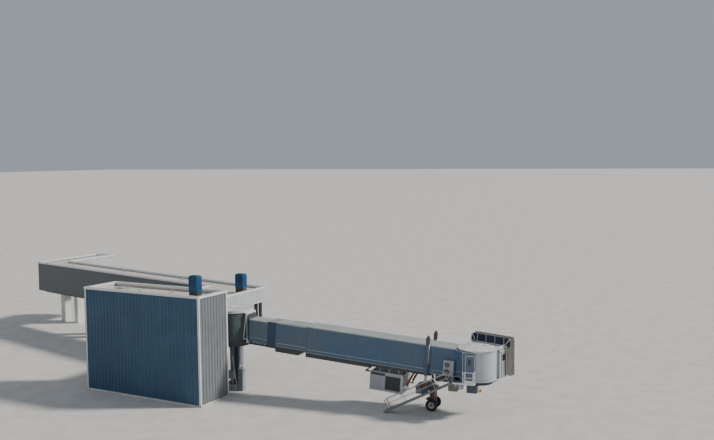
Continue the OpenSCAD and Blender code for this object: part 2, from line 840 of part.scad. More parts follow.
real_size() tower_walls();
real_size() tower_roof();
real_size() tower_coping();
real_size() tower_door();
real_size() hub_walls();
real_size() walkway_near_wall();
real_size() walkway_far_wall();
real_size() walkway_floor();
real_size() walkway_roof();
real_size() walkway_coping();
real_size() walkway_piers();
real_size() roof_box_tower();
real_size() roof_box_hub();
real_size() rotunda_base();
real_size() rotunda_column();
real_size() rotunda_floor();
real_size() rotunda_roof();
real_size() rotunda_curtains();
real_size() swing_frame();
real_size() swing_curtains();
real_size() tunnel_a();
real_size() tunnel_b();
real_size() tunnel_c();
real_size() vestibule();
real_size() cable_tray();
real_size() lift_saddle();
real_size() lift_columns();
real_size() lift_legs();
real_size() lift_beam();
real_size() bogie_frame();
real_size() wheel_near();
real_size() wheel_far();
real_size() cabinet();
real_size() cooling_unit();
real_size() landing();
real_size() service_stair();
real_size() cab_ring();
real_size() cab_curtains();
real_size() cab_floor();
real_size() cab_wall();
real_size() cab_roof();
real_size() cab_nose();
real_size() canopy();
real_size() canopy_hoop();
real_size() cab_door();
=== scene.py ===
import json
import math

import bmesh
import bpy
from mathutils import Matrix, Vector


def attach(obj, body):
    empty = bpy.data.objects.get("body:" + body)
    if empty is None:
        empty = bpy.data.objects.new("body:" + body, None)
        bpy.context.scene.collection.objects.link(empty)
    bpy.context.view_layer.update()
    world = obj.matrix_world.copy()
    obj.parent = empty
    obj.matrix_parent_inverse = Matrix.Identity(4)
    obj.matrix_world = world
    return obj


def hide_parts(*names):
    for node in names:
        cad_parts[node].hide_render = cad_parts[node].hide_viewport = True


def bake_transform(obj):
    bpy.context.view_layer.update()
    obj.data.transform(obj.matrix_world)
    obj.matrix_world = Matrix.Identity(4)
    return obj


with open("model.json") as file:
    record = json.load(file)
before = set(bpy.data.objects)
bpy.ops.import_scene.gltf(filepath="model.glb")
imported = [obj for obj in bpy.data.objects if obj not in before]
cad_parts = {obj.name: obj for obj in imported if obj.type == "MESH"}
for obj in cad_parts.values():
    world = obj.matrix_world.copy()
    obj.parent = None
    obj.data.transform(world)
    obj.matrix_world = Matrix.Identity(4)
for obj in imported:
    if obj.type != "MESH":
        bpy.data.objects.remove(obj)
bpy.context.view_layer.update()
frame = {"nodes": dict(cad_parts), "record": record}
nodes = frame["nodes"]
mm = 1 / 2000  # one real millimetre, in metres of the model at one half of real size

# Where each part of the machine starts and which way it lies
swing = math.radians(6.6)
slope = math.radians(4.2)
places = {
    "ground": Matrix.Identity(4),
    "tower": Matrix.Translation((-13700 * mm, -7100 * mm, 0)),
    "leg": Matrix.Translation((-1950 * mm, 5120 * mm, 0)) @ Matrix.Rotation(math.radians(180 - 11.85), 4, "Z"),
    "swing": Matrix.Rotation(swing, 4, "Z"),
}
places["tunnel"] = (places["swing"] @ Matrix.Translation((2250 * mm, 0, 5170 * mm))
                    @ Matrix.Rotation(slope, 4, "Y"))
places["level"] = places["swing"] @ Matrix.Translation((26000 * mm, 0, 3660 * mm))
places["cab"] = places["level"] @ Matrix.Rotation(math.radians(68), 4, "Z")
places["stair"] = (places["level"] @ Matrix.Translation((-1800 * mm, -2740 * mm, -260 * mm))
                   @ Matrix.Rotation(math.radians(-27), 4, "Y"))  # the flight lies at 27 degrees
bogieS = 2250 + 19150 * math.cos(slope) - 1620 * math.sin(slope) + 450
places["bogie"] = places["swing"] @ Matrix.Translation((bogieS * mm, 0, 0))


# Small mesh tools: every measure is a real millimetre in the place's own axes
def addBox(bm, x0, x1, y0, y1, z0, z1):
    made = bmesh.ops.create_cube(bm, size=1.0)["verts"]
    size = Vector((x1 - x0, y1 - y0, z1 - z0))
    middle = Vector((x0 + x1, y0 + y1, z0 + z1)) / 2
    for v in made:
        v.co = Vector((v.co.x * size.x, v.co.y * size.y, v.co.z * size.z)) + middle
    return made


def addRod(bm, start, end, radius, sides=12, radiusEnd=None):
    a, b = Vector(start), Vector(end)
    turn = (b - a).to_track_quat("Z", "Y").to_matrix().to_4x4()
    return bmesh.ops.create_cone(bm, cap_ends=True, segments=sides, radius1=radius,
                                 radius2=radius if radiusEnd is None else radiusEnd, depth=(b - a).length,
                                 matrix=Matrix.Translation((a + b) / 2) @ turn)["verts"]


def addPlate(bm, outline, z0, z1):
    low = [bm.verts.new((x, y, z0)) for x, y in outline]
    high = [bm.verts.new((x, y, z1)) for x, y in outline]
    bm.faces.new(low[::-1])
    bm.faces.new(high)
    n = len(outline)
    for i in range(n):
        bm.faces.new((low[i], low[(i + 1) % n], high[(i + 1) % n], high[i]))


def addTurned(bm, profile, matrix, sides=48, start=0.0, sweep=360.0):
    # profile is a list of (radius, height), turned about the matrix's Z
    closed = abs(sweep - 360) < 0.01
    rings = []
    count = sides if closed else sides + 1
    for i in range(count):
        a = math.radians(start + sweep * i / sides)
        rings.append([bm.verts.new(matrix @ Vector((r * math.cos(a), r * math.sin(a), z)))
                      for r, z in profile])
    m = len(profile)
    for i in range(sides):
        p, q = rings[i], rings[(i + 1) % count]
        for k in range(m):
            bm.faces.new((p[k], q[k], q[(k + 1) % m], p[(k + 1) % m]))
    if not closed:
        bm.faces.new(rings[0])
        bm.faces.new(rings[-1][::-1])


def addTube(bm, points, radius, sides=8):
    for a, b in zip(points, points[1:]):
        addRod(bm, a, b, radius, sides)
    for p in points[1:-1]:
        bmesh.ops.create_uvsphere(bm, u_segments=sides, v_segments=6, radius=radius,
                                  matrix=Matrix.Translation(p))


def addGrid(bm, rings):
    grid = [[bm.verts.new(p) for p in ring] for ring in rings]
    for p, q in zip(grid, grid[1:]):
        for i in range(len(p) - 1):
            bm.faces.new((p[i], q[i], q[i + 1], p[i + 1]))


def span(edge, reach):
    # the lower and the upper end of a stretch that starts at edge
    return sorted((edge, edge + reach))


def onCircle(radius, degrees, z=0):
    a = math.radians(degrees)
    return radius * math.cos(a), radius * math.sin(a), z


def finishPiece(name, bm, place, body, material, edge=0, smooth=False, hides=()):
    # body is None where the piece is blended between two bodies; hides names the CAD nodes that it replaces
    bmesh.ops.recalc_face_normals(bm, faces=bm.faces)
    mesh = bpy.data.meshes.new(name)
    bm.to_mesh(mesh)
    bm.free()
    mesh.transform(places[place] @ Matrix.Scale(mm, 4))
    piece = bpy.data.objects.new(name, mesh)
    bpy.context.scene.collection.objects.link(piece)
    mesh.materials.append(material)
    if smooth:
        for f in mesh.polygons:
            f.use_smooth = True
        mesh.set_sharp_from_angle(angle=math.radians(35))
    if edge:
        bevel = piece.modifiers.new("edge", "BEVEL")
        bevel.width = edge * mm
        bevel.segments = 2
        bevel.limit_method = "ANGLE"
    if body:
        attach(piece, body)
    if hides:
        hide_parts(*hides)
    return piece


def bowLine(half, top, corner, foot):
    # from the near foot over the top to the far foot, as (y, z), the corners rounded
    side = [(-half, foot + (top - corner - foot) * i / 9) for i in range(10)]
    bend = []
    for i in range(1, 11):
        a = math.radians(9 * i)
        bend.append((-half + corner - corner * math.cos(a), top - corner + corner * math.sin(a)))
    mid = [(-half + corner + 2 * (half - corner) * i / 12, top) for i in range(1, 12)]
    return side + bend + mid + [(-y, z) for y, z in (side + bend)[::-1]]


def outward(line, i):
    # the direction square to the line at its point i, away from the middle
    a, b = line[max(i - 1, 0)], line[min(i + 1, len(line) - 1)]
    along = Vector((b[0] - a[0], b[1] - a[1])).normalized()
    return -along.y, along.x


def clothPiece(name, rings, place, body, material, thick):
    # one thin sheet through rings of points; its cut size comes from the same rings
    bm = bmesh.new()
    addGrid(bm, rings)
    cut = sum(face.calc_area() for face in bm.faces) * mm * mm
    bmesh.ops.solidify(bm, geom=bm.faces[:], thickness=thick)
    piece = finishPiece(name, bm, place, body, material, 0, True)
    return piece


def boxPiece(name, boxes, place, body, material, edge=6, rods=(), hides=()):
    bm = bmesh.new()
    for b in boxes:
        addBox(bm, *b)
    for r in rods:
        addRod(bm, *r)
    return finishPiece(name, bm, place, body, material, edge, hides=hides)


# Procedural finishes
def makeSurface(name, colour, rough=0.5, metal=0.0, grime=(0.10, 0.09, 0.08), grimeAmount=0.25, grimeSize=1.4,
                streaks=0.15, fine=90.0, fineDepth=0.15, lines=(), waves=None, roofing=None, second=None,
                secondSize=3.0, coat=0.0, spin=None, speckle=0.0, paintedSunlitSide=None):
    # lines: (direction, pitch, width, shade); waves: (direction, pitch, depth); spin: centre of a round wall;
    # paintedSunlitSide: a painted sunlit colour for faces turned to +x, toward the sun; roofing: the colour of
    # faces turned up
    material = bpy.data.materials.new(name)
    material.use_nodes = True
    tree = material.node_tree
    tree.nodes.clear()
    add, link = tree.nodes.new, tree.links.new
    out = add("ShaderNodeOutputMaterial")
    shader = add("ShaderNodeBsdfPrincipled")
    link(shader.outputs["BSDF"], out.inputs["Surface"])
    shader.inputs["Metallic"].default_value = metal
    if coat:
        shader.inputs["Coat Weight"].default_value = coat
        shader.inputs["Coat Roughness"].default_value = 0.25
    place = add("ShaderNodeTexCoord").outputs["Object"]

    def noise(scale, detail, vector=place, rough=0.55):
        n = add("ShaderNodeTexNoise")
        n.inputs["Scale"].default_value = scale
        n.inputs["Detail"].default_value = detail
        n.inputs["Roughness"].default_value = rough
        link(vector, n.inputs["Vector"])
        return n.outputs["Fac"]

    def calc(kind, a, b=None):
        m = add("ShaderNodeMath")
        m.operation = kind
        for socket, value in zip(m.inputs, (a, b)):
            if value is None:
                continue
            if isinstance(value, (int, float)):
                socket.default_value = value
            else:
                link(value, socket)
        return m.outputs[0]

    def ramp(value, low, high):
        r = add("ShaderNodeMapRange")
        r.interpolation_type = "SMOOTHSTEP"
        link(value, r.inputs["Value"])
        r.inputs["From Min"].default_value = low
        r.inputs["From Max"].default_value = high
        return r.outputs["Result"]

    def mix(factor, a, b):
        m = add("ShaderNodeMix")
        m.data_type = "RGBA"
        link(factor, m.inputs["Factor"])
        for socket, value in ((m.inputs["A"], a), (m.inputs["B"], b)):
            if isinstance(value, tuple):
                socket.default_value = (*value, 1.0)
            else:
                link(value, socket)
        return m.outputs["Result"]

    def along(direction):
        if direction == "round":
            moved = add("ShaderNodeVectorMath")
            moved.operation = "SUBTRACT"
            link(place, moved.inputs[0])
            moved.inputs[1].default_value = spin or (0, 0, 0)
            parts = add("ShaderNodeSeparateXYZ")
            link(moved.outputs["Vector"], parts.inputs[0])
            return calc("ARCTAN2", parts.outputs["Y"], parts.outputs["X"])
        d = add("ShaderNodeVectorMath")
        d.operation = "DOT_PRODUCT"
        link(place, d.inputs[0])
        d.inputs[1].default_value = Vector(direction).normalized()
        return d.outputs["Value"]

    base = mix(ramp(noise(secondSize * 0.35, 4), 0.35, 0.7), colour, second or tuple(c * 0.88 for c in colour))
    if roofing or paintedSunlitSide:
        up = add("ShaderNodeSeparateXYZ")
        link(add("ShaderNodeTexCoord").outputs["Normal"], up.inputs[0])
    # painted sunlight: faces turned to +x, toward the sun, take this lighter colour in place of the base
    if paintedSunlitSide:
        side = mix(ramp(noise(1.7, 4), 0.3, 0.75), paintedSunlitSide, tuple(c * 0.86 for c in paintedSunlitSide))
        base = mix(calc("GREATER_THAN", up.outputs["X"], 0.7), base, side)
    if roofing:
        top = mix(ramp(noise(0.9, 5), 0.35, 0.72), roofing, tuple(c * 0.8 for c in roofing))
        base = mix(calc("GREATER_THAN", up.outputs["Z"], 0.6), base, top)
    height = calc("MULTIPLY", noise(fine, 5), fineDepth * 0.02)
    for direction, pitch, width, shade in lines:
        t = calc("FRACT", calc("DIVIDE", along(direction), pitch))
        d = calc("ABSOLUTE", calc("SUBTRACT", t, 0.5))
        joint = ramp(d, 0.5 - width / pitch, 0.5 - width / pitch * 0.3)
        base = mix(calc("MULTIPLY", joint, shade), base, tuple(c * 0.25 for c in colour))
        height = calc("SUBTRACT", height, calc("MULTIPLY", joint, 0.004))
    if waves:
        direction, pitch, depth = waves
        wave = calc("SINE", calc("MULTIPLY", along(direction), 2 * math.pi / pitch))
        height = calc("ADD", height, calc("MULTIPLY", wave, depth))
    if streaks:
        flat = add("ShaderNodeMapping")
        flat.inputs["Scale"].default_value = (5.0, 5.0, 0.22)
        link(place, flat.inputs["Vector"])
        run = ramp(noise(1.6, 6, flat.outputs["Vector"]), 0.5, 0.78)
        base = mix(calc("MULTIPLY", run, streaks), base, grime)
    cloud = ramp(noise(grimeSize, 7, rough=0.65), 0.48, 0.8)
    base = mix(calc("MULTIPLY", cloud, grimeAmount), base, grime)
    if speckle:
        dots = ramp(noise(240.0, 2), 0.55, 0.72)
        base = mix(calc("MULTIPLY", dots, speckle), base, tuple(min(1.0, c * 1.6) for c in colour))
    link(base, shader.inputs["Base Color"])
    link(calc("ADD", calc("MULTIPLY", noise(6.0, 5), 0.22), rough - 0.11), shader.inputs["Roughness"])
    bump = add("ShaderNodeBump")
    bump.inputs["Strength"].default_value = 1.0
    bump.inputs["Distance"].default_value = 1.0
    link(height, bump.inputs["Height"])
    link(bump.outputs["Normal"], shader.inputs["Normal"])
    return material


tunnelWay = (math.cos(swing), math.sin(swing), -math.tan(slope))
legWay = (-math.cos(math.radians(11.85)), math.sin(math.radians(11.85)), 0)
cabMiddle = tuple(places["cab"] @ Vector((0, 0, 0)))

finishes = {
    # clad_wall: the dark navy base is painted shade, the look of the walls out of the sun; its faces turned to
    # +x get a grey painted sunlit colour
    "clad_wall": dict(colour=(0.026, 0.078, 0.14), second=(0.034, 0.096, 0.162), rough=0.5, streaks=0.16,
                      fineDepth=0.1, grime=(0.13, 0.15, 0.16), grimeAmount=0.10, paintedSunlitSide=(0.17, 0.19, 0.20),
                      lines=[((0, 0, 1), 1.8, 0.006, 0.35)]),
    "flashing": dict(colour=(0.74, 0.76, 0.78), rough=0.45, streaks=0.1, grimeAmount=0.2,
                     roofing=(0.52, 0.53, 0.52),
                     grime=(0.28, 0.27, 0.25), lines=[((1, 0, 0), 1.5, 0.006, 0.5)]),
    "roof_felt": dict(colour=(0.50, 0.46, 0.42), second=(0.56, 0.50, 0.45), rough=0.92, fine=160,
                      fineDepth=0.5,
                      streaks=0.0, grimeAmount=0.4, grime=(0.30, 0.29, 0.27), grimeSize=0.7, speckle=0.3,
                      lines=[((0, 1, 0), 0.5, 0.008, 0.35), ((1, 0, 0), 5.0, 0.01, 0.3)]),
    "walkway_skin": dict(colour=(0.09, 0.105, 0.11), second=(0.105, 0.118, 0.122), rough=0.5, streaks=0.2,
                         grime=(0.10, 0.10, 0.10), grimeAmount=0.15,
                         lines=[(legWay, 1.2, 0.006, 0.5), ((0, 0, 1), 0.95, 0.005, 0.25)]),
    "hub_skin": dict(colour=(0.45, 0.50, 0.50), rough=0.5, streaks=0.2, grime=(0.25, 0.25, 0.24),
                     grimeAmount=0.2, lines=[((1, 1, 0), 0.9, 0.006, 0.4), ((0, 0, 1), 0.95, 0.005, 0.25)]),
    "slab": dict(colour=(0.36, 0.36, 0.35), rough=0.85, fine=70, fineDepth=0.5, streaks=0.0, grimeAmount=0.3),
    "concrete": dict(colour=(0.62, 0.62, 0.58), second=(0.54, 0.54, 0.51), rough=0.88, fine=55, fineDepth=0.6,
                     streaks=0.3, grime=(0.24, 0.23, 0.21), lines=[((0, 0, 1), 0.6, 0.004, 0.3)],
                     speckle=0.15),
    "blue_cabinet": dict(colour=(0.0, 0.07, 0.15), second=(0.0, 0.085, 0.175), rough=0.5, streaks=0.08,
                         grime=(0.02, 0.05, 0.08), grimeAmount=0.15),
    "column_paint": dict(colour=(0.30, 0.32, 0.34), rough=0.42, streaks=0.25, grime=(0.12, 0.12, 0.11)),
    "curtain": dict(colour=(0.072, 0.10, 0.106), rough=0.45, streaks=0.2, waves=("round", 0.026, 0.0025),
                    lines=[("round", 0.026, 0.004, 0.6)], grime=(0.07, 0.07, 0.07)),
    "frame_white": dict(colour=(0.66, 0.68, 0.68), rough=0.4, streaks=0.2, grime=(0.30, 0.29, 0.27)),
    # tunnel_skin: the dark blue-grey of the walls is painted shade, while faces turned up keep a lighter grey;
    # the bluer second-colour patches are painted sky reflection
    "tunnel_skin": dict(colour=(0.085, 0.12, 0.165), second=(0.045, 0.115, 0.205), secondSize=0.8, rough=0.4,
                        streaks=0.12, grime=(0.17, 0.17, 0.16), grimeAmount=0.14, roofing=(0.28, 0.31, 0.32),
                        coat=0.15,
                        lines=[(tunnelWay, 0.575, 0.005, 0.45)], waves=(tunnelWay, 0.0958, 0.0016)),
    "dark_steel": dict(colour=(0.045, 0.05, 0.055), rough=0.55, streaks=0.15, grime=(0.14, 0.13, 0.12),
                       grimeAmount=0.3),
    "lift_paint": dict(colour=(0.07, 0.10, 0.15), rough=0.38, streaks=0.2, grime=(0.2, 0.19, 0.18)),
    "leg_steel": dict(colour=(0.42, 0.43, 0.44), rough=0.3, metal=0.85, streaks=0.35,
                      grime=(0.08, 0.07, 0.06)),
    "bogie_paint": dict(colour=(0.11, 0.06, 0.05), second=(0.14, 0.07, 0.055), rough=0.55, streaks=0.3,
                        grime=(0.06, 0.055, 0.05), grimeAmount=0.5),
    "tyre": dict(colour=(0.022, 0.022, 0.023), rough=0.8, fine=120, fineDepth=0.5, streaks=0.0,
                 grimeAmount=0.35,
                 grime=(0.14, 0.12, 0.10), grimeSize=5.0),
    "equipment": dict(colour=(0.36, 0.38, 0.41), rough=0.42, streaks=0.2, grime=(0.16, 0.16, 0.15)),
    "galvanised": dict(colour=(0.50, 0.52, 0.53), second=(0.40, 0.42, 0.44), secondSize=22.0, rough=0.42,
                       metal=0.6,
                       streaks=0.1, grime=(0.25, 0.25, 0.24)),
    "cab_skin": dict(colour=(0.47, 0.52, 0.54), rough=0.34, streaks=0.14, grime=(0.30, 0.29, 0.27), coat=0.2,
                     spin=cabMiddle, lines=[("round", 0.35, 0.004, 0.3)]),
    "cab_roofing": dict(colour=(0.54, 0.57, 0.57), second=(0.58, 0.60, 0.58), rough=0.55, streaks=0.0,
                        grimeAmount=0.35, grime=(0.34, 0.32, 0.29), grimeSize=2.5),
    "canopy_fabric": dict(colour=(0.045, 0.06, 0.10), second=(0.06, 0.08, 0.13), rough=0.75, fine=220,
                          fineDepth=0.4, streaks=0.2, grime=(0.12, 0.12, 0.13), grimeAmount=0.3),
    "door_paint": dict(colour=(0.13, 0.16, 0.25), rough=0.4, streaks=0.15, grime=(0.10, 0.10, 0.10)),
}
surfaces = {name: makeSurface(name, **values) for name, values in finishes.items()}
for part in frame["record"]["subparts"]:
    thing = nodes[part["node"]]
    thing.data.materials.clear()
    thing.data.materials.append(surfaces[part["material_slot"]])
# the oldest paint is on tunnel A; like tunnel_skin, its dark walls are painted shade and its bluer
# second-colour patches are painted sky reflection
agedPaintWithPaintedLight = dict(finishes["tunnel_skin"], colour=(0.125, 0.15, 0.18), second=(0.085, 0.13, 0.185))
nodes["tunnel_a"].data.materials[0] = makeSurface("agedSkinWithPaintedLight", **agedPaintWithPaintedLight)
rubber = makeSurface("rubber", (0.018, 0.018, 0.02), rough=0.7, streaks=0.1, grimeAmount=0.25,
                     grime=(0.1, 0.1, 0.1))
roofSheet = makeSurface("roofSheet", (0.27, 0.30, 0.31), second=(0.33, 0.35, 0.35), rough=0.5, streaks=0.0,
                        grimeAmount=0.45, grime=(0.40, 0.38, 0.34), grimeSize=1.8, fineDepth=0.2)
# painted shade: dark navy for the collar on tunnel B, standing for the shadow that B casts on tunnel A; faces
# turned up take a lighter grey
shadeCollarNavy = makeSurface("shadeCollarNavy", (0.03, 0.065, 0.12), rough=0.55, streaks=0.12, grimeAmount=0.15,
                       roofing=(0.25, 0.27, 0.28))
hingeCloth = makeSurface("hingeCloth", (0.10, 0.112, 0.13), rough=0.75, fine=160, fineDepth=0.2, streaks=0.2)
pipeWhite = makeSurface("pipeWhite", (0.84, 0.86, 0.87), rough=0.4, streaks=0.1, grimeAmount=0.1,
                        grime=(0.4, 0.39, 0.37))
slotBlue = makeSurface("slotBlue", (0.0, 0.028, 0.12), rough=0.5, streaks=0.1, grimeAmount=0.1)
deepGreen = makeSurface("deepGreen", (0.035, 0.06, 0.062), rough=0.5, streaks=0.2, grimeAmount=0.15)
stairSteel = makeSurface("stairSteel", (0.19, 0.215, 0.235), rough=0.5, streaks=0.15, grimeAmount=0.3)
headBrown = makeSurface("headBrown", (0.085, 0.075, 0.07), rough=0.55, streaks=0.2, grimeAmount=0.35)
sunCloth = makeSurface("sunCloth", (0.56, 0.54, 0.49), rough=0.85, fine=200, fineDepth=0.3, streaks=0.2,
                       grimeAmount=0.25, grime=(0.3, 0.29, 0.27), roofing=(0.035, 0.05, 0.10))
mauve = makeSurface("mauvePanel", (0.37, 0.37, 0.42), rough=0.45, streaks=0.2)
paleCloth = makeSurface("paleCloth", (0.60, 0.60, 0.57), rough=0.8, fine=200, fineDepth=0.3, streaks=0.25,
                        grime=(0.3, 0.3, 0.28), grimeAmount=0.25)
oliveBox = makeSurface("oliveBox", (0.17, 0.18, 0.12), rough=0.5, streaks=0.2)
redOxide = makeSurface("redOxide", (0.22, 0.06, 0.045), rough=0.55, streaks=0.25)
amber = makeSurface("amber", (0.75, 0.38, 0.03), rough=0.25, streaks=0.05, grimeAmount=0.1)
glass = makeSurface("darkGlass", (0.02, 0.03, 0.04), rough=0.12, streaks=0.05, grimeAmount=0.08, coat=0.6)
lampGlass = makeSurface("lampGlass", (0.75, 0.76, 0.74), rough=0.3, streaks=0.05, grimeAmount=0.1)
print("stage: finishes made")

# Camera at the photograph's place: focal length and picture width in pixels, angles in degrees, place in metres
view = dict(focal=844.33, picture=714, pitch=4.268, roll=0.5576, yaw=-28.452, place=(26.42, -35.085, 12.0))
cameraData = bpy.data.cameras.new("photoCamera")
camera = bpy.data.objects.new("photoCamera", cameraData)
bpy.context.scene.collection.objects.link(camera)
bpy.context.scene.camera = camera
cameraData.sensor_fit = "HORIZONTAL"
cameraData.sensor_width = 36.0
cameraData.lens = view["focal"] / view["picture"] * cameraData.sensor_width
cameraData.clip_start, cameraData.clip_end = 0.5, 2000
pitch, roll, yaw = (math.radians(view[k]) for k in ("pitch", "roll", "yaw"))
ahead = Vector((math.sin(yaw) * math.cos(pitch), math.cos(yaw) * math.cos(pitch), -math.sin(pitch)))
right = Vector((math.cos(yaw), -math.sin(yaw), 0))
above = right.cross(ahead)
turnedRight = math.cos(roll) * right - math.sin(roll) * above
turnedUp = math.cos(roll) * above + math.sin(roll) * right
facing = Matrix((turnedRight, turnedUp, -ahead)).transposed().to_4x4()
camera.matrix_world = Matrix.Translation(view["place"]) @ facing

# Floor and light
studio = dict(floorHalf=700, sky=(0.72, 0.79, 0.88, 1), skyStrength=0.46)
bm = bmesh.new()
bmesh.ops.create_grid(bm, x_segments=1, y_segments=1, size=studio["floorHalf"])
floorMesh = bpy.data.meshes.new("floor")
bm.to_mesh(floorMesh)
bm.free()
floor = bpy.data.objects.new("floor", floorMesh)
floor.location = (0, 0, -0.002)
bpy.context.scene.collection.objects.link(floor)
floorMesh.materials.append(makeSurface("paleFloor", (0.60, 0.585, 0.56), rough=0.9, streaks=0.0,
                                       grimeAmount=0.08,
                                       grimeSize=0.05, fineDepth=0.1, grime=(0.5, 0.49, 0.47)))
world = bpy.data.worlds.new("studio")
bpy.context.scene.world = world
world.use_nodes = True
world.node_tree.nodes["Background"].inputs["Color"].default_value = studio["sky"]
world.node_tree.nodes["Background"].inputs["Strength"].default_value = studio["skyStrength"]
lamps = {
    "key": dict(way=(-0.72, -0.42, -0.62), power=4.3, spread=7.0, colour=(1.0, 0.95, 0.88)),
    "fill": dict(way=(0.25, 0.85, -0.35), power=0.25, spread=60.0, colour=(0.86, 0.92, 1.0)),
}
for name, values in lamps.items():
    data = bpy.data.lights.new(name, "SUN")
    data.energy = values["power"]
    data.angle = math.radians(values["spread"])
    data.color = values["colour"]
    lamp = bpy.data.objects.new(name, data)
    lamp.rotation_mode = "QUATERNION"
    lamp.rotation_quaternion = Vector(values["way"]).to_track_quat("-Z", "Y")
    bpy.context.scene.collection.objects.link(lamp)
print("stage: camera, floor and light")

# Tower trims, roof, door fittings
tower = dict(length=15000, width=4500, wallTop=10580, top=10800, deck=10380, trim=170, proud=14, doorY=1700,
             doorWide=1100, doorHigh=2200)


def dressTower():
    t, p = tower["trim"], tower["proud"]
    long, wide, tall = tower["length"], tower["width"], tower["wallTop"] - 4
    corners = []
    for x0, sx in ((0, 1), (long, -1)):
        for y0, sy in ((0, 1), (wide, -1)):
            for wideX, wideY in ((t, 6), (6, t)):
                corners.append((*span(x0 - sx * p, sx * (p + wideX)), *span(y0 - sy * p, sy * (p + wideY)), 30,
                                tall))
    boxPiece("tower_corner_trims", corners, "tower", "fixed", surfaces["flashing"], 5)
    bm = bmesh.new()
    y0, y1 = tower["doorY"], tower["doorY"] + tower["doorWide"]
    for x0, x1, plinthY0, plinthY1 in ((-22, long + 22, -22, 70), (-22, long + 22, wide - 70, wide + 22),
                                       (long - 70, long + 22, -22, wide + 22), (-22, 70, -22, y0 - 90),
                                       (-22, 70, y1 + 90, wide + 22)):
        addBox(bm, x0, x1, plinthY0, plinthY1, 0, 140)
    finishPiece("tower_plinth", bm, "tower", "fixed", surfaces["concrete"], 8)
    bm = bmesh.new()
    top = tower["top"]
    for i in range(1, 7):
        x = long * i / 7
        addBox(bm, x - 45, x + 45, -66, 365, top - 1, top + 7)
        addBox(bm, x - 45, x + 45, -67, -58, top - 222, top + 7)
        addBox(bm, x - 45, x + 45, wide - 365, wide - 5, top - 1, top + 7)
    for y in (wide / 3, 2 * wide / 3):
        for x0, x1, xf in ((-66, 365, -67), (long - 365, long + 66, long + 58)):
            addBox(bm, x0, x1, y - 45, y + 45, top - 1, top + 7)
            addBox(bm, xf, xf + 9, y - 45, y + 45, top - 222, top + 7)
    finishPiece("tower_coping_straps", bm, "tower", "fixed", surfaces["flashing"], 2)
    bm = bmesh.new()
    deck = tower["deck"]
    for i in range(1, 14):
        addBox(bm, long * i / 14 - 50, long * i / 14 + 50, 365, wide - 365, deck, deck + 9)
    for x0, x1, edgeY0, edgeY1 in ((360, long - 360, 360, 378), (360, long - 360, wide - 378, wide - 360),
                                   (360, 378, 360, wide - 360), (long - 378, long - 360, 360, wide - 360)):
        addBox(bm, x0, x1, edgeY0, edgeY1, deck, deck + 260)
    finishPiece("tower_roof_seams", bm, "tower", "fixed", surfaces["roof_felt"], 3)
    bm = bmesh.new()
    addBox(bm, 2600, 3700, 1700, 2700, deck, deck + 240)  # roof hatch with its lid and stay
    addBox(bm, 2560, 3740, 1660, 2740, deck + 240, deck + 300)
    addRod(bm, (3000, 2760, deck + 120), (3400, 2760, deck + 120), 18)
    for x, y in ((6200, 1500), (9300, 2900)):
        addRod(bm, (x, y, deck), (x, y, deck + 260), 90, 20)
        addRod(bm, (x, y, deck + 270), (x, y, deck + 330), 170, 20, 60)
    finishPiece("tower_roof_hatch", bm, "tower", "fixed", surfaces["galvanised"], 5, True)
    head = tower["doorHigh"]  # jambs, head, rain hood and lamp of the door
    boxPiece("tower_door_frame", [(30, 58, y0 - 75, y0 - 2, 142, head + 75),
                                  (30, 58, y1 + 2, y1 + 75, 142, head + 75),
                                  (30, 58, y0 - 75, y1 + 75, head + 4, head + 75),
                                  (-30, 58, y0 - 60, y1 + 60, head + 90, head + 120),
                                  (-40, 40, y0 + 380, y0 + 720, head + 220, head + 340)],
             "tower", "fixed", surfaces["flashing"], 4)
    boxPiece("tower_door_panel",
             [(53, 62, y0 + 120, y1 - 130, 200, 950), (53, 62, y0 + 120, y1 - 130, 1100, 2050)],
             "tower", "tower_door", surfaces["door_paint"], 5,
             rods=[((48, y1 - 90, 1000), (48, y1 - 90, 1220), 14, 10),
                   ((60, y1 - 90, 1010), (40, y1 - 90, 1010), 12, 8),
                   ((60, y1 - 90, 1210), (40, y1 - 90, 1210), 12, 8)])


dressTower()

# Blue roof cabinets
cabinetBlue = dict(wide=1150, deep=920, high=2150, plinth=200, corner=190)


